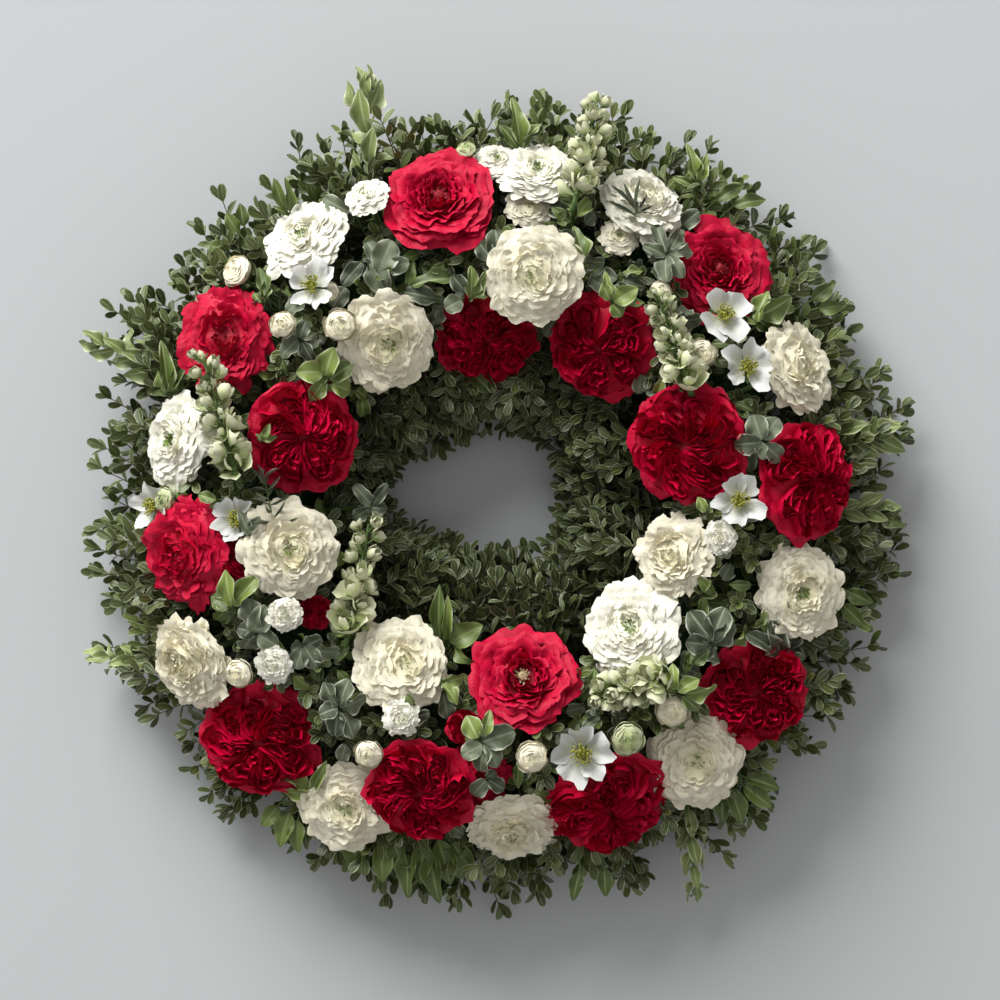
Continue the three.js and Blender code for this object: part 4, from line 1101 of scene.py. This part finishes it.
# The single leaves, in bunches by kind, each with a second small leaf on its stem
rng = np.random.default_rng(SEEDS["leaves"])
for kind, form in BLADES.items():
    heap = Heap()
    for px0, py0, px1, py1, width, lift0, lift1 in PLACED_LEAVES[kind]:
        start, end = at(px0, py0, lift0), at(px1, py1, lift1)
        way = end - start
        length = np.linalg.norm(way)
        face = UP * 1.3 + rng.uniform(-0.7, 0.7, 3)
        narrower = GREY_NARROWER if kind == "grey" else 1.0
        made = one_leaf(start, way, face, length * rng.uniform(0.85, 1.05),
                        width * PIXEL * narrower * rng.uniform(0.8, 1.05), form)
        heap.sheets(made, LEAVES, rng.uniform(0, 1, 1))
        side = np.cross(unit(way), UP) * rng.choice([-1, 1])
        small_way = unit(way) * 0.5 + side * rng.uniform(0.5, 1.0) - 0.1 * UP
        made = one_leaf(start - 0.1 * way, small_way, UP + rng.uniform(-0.8, 0.8, 3), 0.6 * length,
                        0.55 * width * PIXEL, form)
        heap.sheets(made - 3 * UP, LEAVES, rng.uniform(0, 0.6, 1))
        stem(heap, foot_of(start), start - 0.35 * way - UP * 16, start, 0.9, 0.6, 4, 6, STEMS)
    heap.build(f"{kind}_leaves", [STEM, LEAF_FINISHES[kind]])

# Small leaves that fill the gaps between the blooms
rng = np.random.default_rng(SEEDS["fillers"])
for kind, count in FILLER_LEAVES.items():
    bearings = rng.uniform(0, math.tau, count)
    radii = RING_RADIUS + rng.uniform(-44, 62, count)
    starts = np.stack([radii * np.cos(bearings), radii * np.sin(bearings), 0 * radii], -1) + RING_CENTRE
    starts[:, 2] = [crown_height(x, y) - 9 for x, y in starts[:, :2]]
    starts[:, 2] += rng.uniform(-6, 6, count)
    turns = rng.uniform(0, math.tau, count)
    ways = np.stack([np.cos(turns), np.sin(turns), rng.uniform(-0.1, 0.7, count)], -1)
    lengths = rng.uniform(9, 17, count)
    free = clear_of_heads(starts + ways * lengths[:, None] * 0.6, heads, 1.0)
    starts, ways, lengths = starts[free], ways[free], lengths[free]
    faces = UP * 1.2 + rng.uniform(-0.8, 0.8, starts.shape)
    width_share = 0.8 if kind == "grey" else 0.5
    widths = lengths * width_share * rng.uniform(0.8, 1.1, len(starts))
    heap = Heap()
    heap.sheets(leaves(starts, ways, faces, lengths, widths, BLADES[kind]), LEAVES,
                rng.uniform(0, 1, len(starts)))
    feet = np.array([foot_of(start) for start in starts])
    knees = starts - 0.4 * ways * lengths[:, None] - UP * 12
    heap.sheets(tubes(feet, knees, starts, 0.8, 0.6, 3, 5), STEMS, rng.uniform(0, 1, len(starts)), True)
    heap.build(f"{kind}_filler_leaves", [STEM, LEAF_FINISHES[kind]])

# A sprig of needles over the flowers on the left
heap = Heap()
low, high = at(*NEEDLE_FOOT, 16) - 10 * UP, at(*NEEDLE_TIP, 26) - 10 * UP
middle = (low + high) / 2 + UP * 3
twig_with_leaves(heap, np.random.default_rng(SEEDS["needles"]), low[None], middle[None], high[None],
                 pairs=9, bare=0.05, size=17, form=BLADES["needle"], width_share=0.14, opening=1.1)
stem(heap, foot_of(low), low - UP * 20, low, 1.1, 0.8, 5, 6, STEMS)
heap.build("needle_sprig", [STEM, GREY_LEAF])

# Broad leaves round the lower edge, which grow from under the blooms
heap = Heap()
for px0, py0, px1, py1, width in RIM_LEAVES:
    start, end = at(px0, py0, -12), at(px1, py1, -8)
    start[2] = max(start[2], 44)
    end[2] = np.clip(end[2], 38, 66)
    way = end - start
    face = UP * 1.4 + rng.uniform(-0.6, 0.6, 3)
    made = one_leaf(start, way, face, np.linalg.norm(way), width * PIXEL, BLADES["green"])
    heap.sheets(made, LEAVES, rng.uniform(0, 1, 1))
    stem(heap, foot_of(start), start - 0.4 * way, start, 1.0, 0.7, 4, 6, STEMS)
heap.build("rim_leaves", [STEM, GREEN_LEAF])


# The boxwood

def from_polar(bearings, radii, heights, centre):
    return centre + np.stack([radii * np.cos(bearings), radii * np.sin(bearings), heights], -1)


def within_sector(rng, sector, sectors, count):
    """Bearings spread over one sector, and how high up the flank of the foam each sprig starts."""
    width = math.tau / sectors
    bearings = sector * width + width * (np.arange(count) + rng.uniform(0, 1, count)) / count
    return bearings, rng.uniform(0, 1, count)


def outer_boxwood(sector):
    """Sprigs from the outer side of the foam to the outline, in one sector."""
    rng = np.random.default_rng(SEEDS["outer"] + sector)
    count = OUTER_SPRIGS // OUTER_SECTORS
    bearings, tier = within_sector(rng, sector, OUTER_SECTORS, count)
    foam_side = np.full(count, RING_RADIUS + FOAM_HALF_WIDTH - 1.0)
    starts = from_polar(bearings, foam_side, 8 + 30 * tier, RING_CENTRE)
    aim = bearings + rng.normal(0, 0.10, count) + 0.10 * np.cos(bearings)
    reach = OUTLINE_RADIUS - 32 * tier**1.3 + rng.normal(0, 11, count) - 6
    reach = np.minimum(reach, OUTLINE_RADIUS + 9)
    for bearing, spread, extra in OUTLINE_TUFTS:
        apart = np.angle(np.exp(1j * (aim - np.radians(bearing))))
        reach = reach + extra * (1 - 0.5 * tier) * np.exp(-((apart / np.radians(spread)) ** 2))
    heights = 14 + 52 * tier + rng.normal(0, 5, count)
    ends = from_polar(aim, reach, np.maximum(heights, 9), OUTLINE_CENTRE)
    middles = (starts + ends) / 2 + UP * (4 + 12 * tier)[:, None] + rng.uniform(-6, 6, (count, 3))
    heap = Heap()
    # The outer leaves get lighter tones: painted light, where the light falls on the outside of the ring
    twig_with_leaves(heap, rng, starts, middles, ends, pairs=8, bare=0.16, size=14.2,
                     form=BOX_BLADE, width_share=0.54, clear=heads, painted_light_and_shade_scale=1.25)
    heap.build(f"boxwood_leaves_outer_{sector + 1}", [TWIG, BOX_LEAF],
               [f"boxwood_outer_{sector + 1}"])


def inner_boxwood(sector):
    """Sprigs from the inner side of the foam to the hole in the middle, in one sector."""
    rng = np.random.default_rng(SEEDS["inner"] + sector)
    count = INNER_SPRIGS // INNER_SECTORS
    bearings, tier = within_sector(rng, sector, INNER_SECTORS, count)
    foam_side = np.full(count, RING_RADIUS - FOAM_HALF_WIDTH + 1.0)
    starts = from_polar(bearings, foam_side, 8 + 34 * tier, RING_CENTRE)
    from_hole = starts - HOLE_CENTRE
    aim = np.arctan2(from_hole[:, 1], from_hole[:, 0]) + rng.normal(0, 0.22, count)
    edge = 1 / np.sqrt((np.cos(aim) / HOLE_HALF_WIDTHS[0]) ** 2 + (np.sin(aim) / HOLE_HALF_WIDTHS[1]) ** 2)
    edge = edge + np.interp(np.degrees(aim) % 360, np.linspace(0, 360, len(HOLE_REACH)), HOLE_REACH)
    reach = edge - 3 + 24 * tier + np.abs(rng.normal(0, 4, count))
    ends = from_polar(aim, reach, 16 + 44 * tier + rng.normal(0, 4, count), HOLE_CENTRE)
    middles = (starts + ends) / 2 + UP * (4 + 10 * tier)[:, None] + rng.uniform(-5, 5, (count, 3))
    heap = Heap()
    # The leaves round the hole get much darker tones: painted shade in the hole
    twig_with_leaves(heap, rng, starts, middles, ends, pairs=7, bare=0.1, size=14.0,
                     form=BOX_BLADE, width_share=0.5, clear=heads, painted_light_and_shade_scale=0.52)
    heap.build(f"boxwood_leaves_inner_{sector + 1}", [TWIG, BOX_LEAF],
               [f"boxwood_inner_{sector + 1}"])


for sector in range(OUTER_SECTORS):
    outer_boxwood(sector)
for sector in range(INNER_SECTORS):
    inner_boxwood(sector)

# More of it stands up between the blooms, from the top and the sloping shoulders of the foam
rng = np.random.default_rng(SEEDS["crown"])
bearings = rng.uniform(0, math.tau, CROWN_SPRIGS)
radii = rng.uniform(RING_RADIUS - 30, RING_RADIUS + 30, CROWN_SPRIGS)
down_shoulder = np.abs(radii - RING_RADIUS) - FOAM_HALF_WIDTH + FOAM_SHOULDER
foam = FOAM_TOP - np.maximum(down_shoulder, 0)
starts = from_polar(bearings, radii, foam - 1.0, RING_CENTRE)
spread = (radii - RING_RADIUS) * 1.35 + rng.normal(0, 9, CROWN_SPRIGS)
aim = bearings + rng.normal(0, 0.07, CROWN_SPRIGS)
tops = from_polar(aim, RING_RADIUS + spread, 0 * radii, RING_CENTRE)
tops[:, 2] = [crown_height(x, y) - 8 for x, y in tops[:, :2]]
tops[:, 2] += rng.normal(0, 5, CROWN_SPRIGS)
heap = Heap()
twig_with_leaves(heap, rng, starts, (starts + tops) / 2, tops, pairs=5, bare=0.1, size=14, form=BOX_BLADE,
                 width_share=0.5, clear=heads)
heap.build("boxwood_leaves_crown", [TWIG, BOX_LEAF])

# The floor, in metres
FLOOR_REACH = 8
FLOOR_DROP = 0.0005
FLOOR_COLOURS = (0.528, 0.545, 0.560), (0.540, 0.557, 0.572)

floor_mesh = bpy.data.meshes.new("floor")
floor_corners = [(FLOOR_REACH * x, FLOOR_REACH * y, 0) for x, y in ((-1, -1), (1, -1), (1, 1), (-1, 1))]
floor_mesh.from_pydata(floor_corners, [], [(0, 1, 2, 3)])
floor = bpy.data.objects.new("floor", floor_mesh)
floor.location.z = -FLOOR_DROP
bpy.context.scene.collection.objects.link(floor)
floor_material, floor_tree, floor_shader = new_finish("floor")
_, _, _, floor_place = coordinates(floor_tree)
floor_grain = grain(floor_tree, floor_place, 3.0, 3.0, 0.5)
fill(floor_tree, floor_shader, {"Base Color": mixed(floor_tree, floor_grain, *FLOOR_COLOURS),
                                "Roughness": 0.9, "Specular IOR Level": 0.1})
floor_mesh.materials.append(floor_material)

# The light: one large soft light from the upper left, and a pale room
LIGHT_HEIGHT = math.radians(27)
LIGHT_BEARING = math.atan2(1.0, -0.5)
LIGHT_DISTANCE = 6.0
LIGHT_RADIUS = 2.05
LIGHT_STRENGTH = 5.0
LIGHT_COLOUR = (1.0, 0.995, 0.985)
ROOM_COLOUR = (1.0, 0.99, 0.965)
ROOM_STRENGTH = 0.44

light_data = bpy.data.lights.new("softbox", "AREA")
light_data.shape = "DISK"
light_data.size = 2 * LIGHT_RADIUS
light_data.energy = LIGHT_STRENGTH * math.pi * LIGHT_DISTANCE**2
light_data.color = LIGHT_COLOUR
light = bpy.data.objects.new("softbox", light_data)
light_way = Vector((math.cos(LIGHT_BEARING) * math.cos(LIGHT_HEIGHT),
                    math.sin(LIGHT_BEARING) * math.cos(LIGHT_HEIGHT), math.sin(LIGHT_HEIGHT)))
light.location = light_way * LIGHT_DISTANCE
light.rotation_mode = "QUATERNION"
light.rotation_quaternion = light_way.to_track_quat("Z", "Y")
bpy.context.scene.collection.objects.link(light)

world = bpy.data.worlds.new("studio")
world.use_nodes = True
fill(world.node_tree, world.node_tree.nodes["Background"],
     {"Color": (*ROOM_COLOUR, 1.0), "Strength": ROOM_STRENGTH})
bpy.context.scene.world = world

# The camera
SENSOR_WIDTH = 36

camera_data = bpy.data.cameras.new("camera")
camera_data.sensor_width = SENSOR_WIDTH
camera_data.lens = SENSOR_WIDTH * (CAMERA[2] - PIXEL_HEIGHT) / PIXEL / PICTURE
camera_data.clip_start = 0.05
camera_data.clip_end = 50
camera = bpy.data.objects.new("camera", camera_data)
camera.location = Vector(CAMERA * METRES)
bpy.context.scene.collection.objects.link(camera)
bpy.context.scene.camera = camera
bpy.context.scene.view_settings.view_transform = "Standard"
bpy.context.scene.view_settings.look = "None"
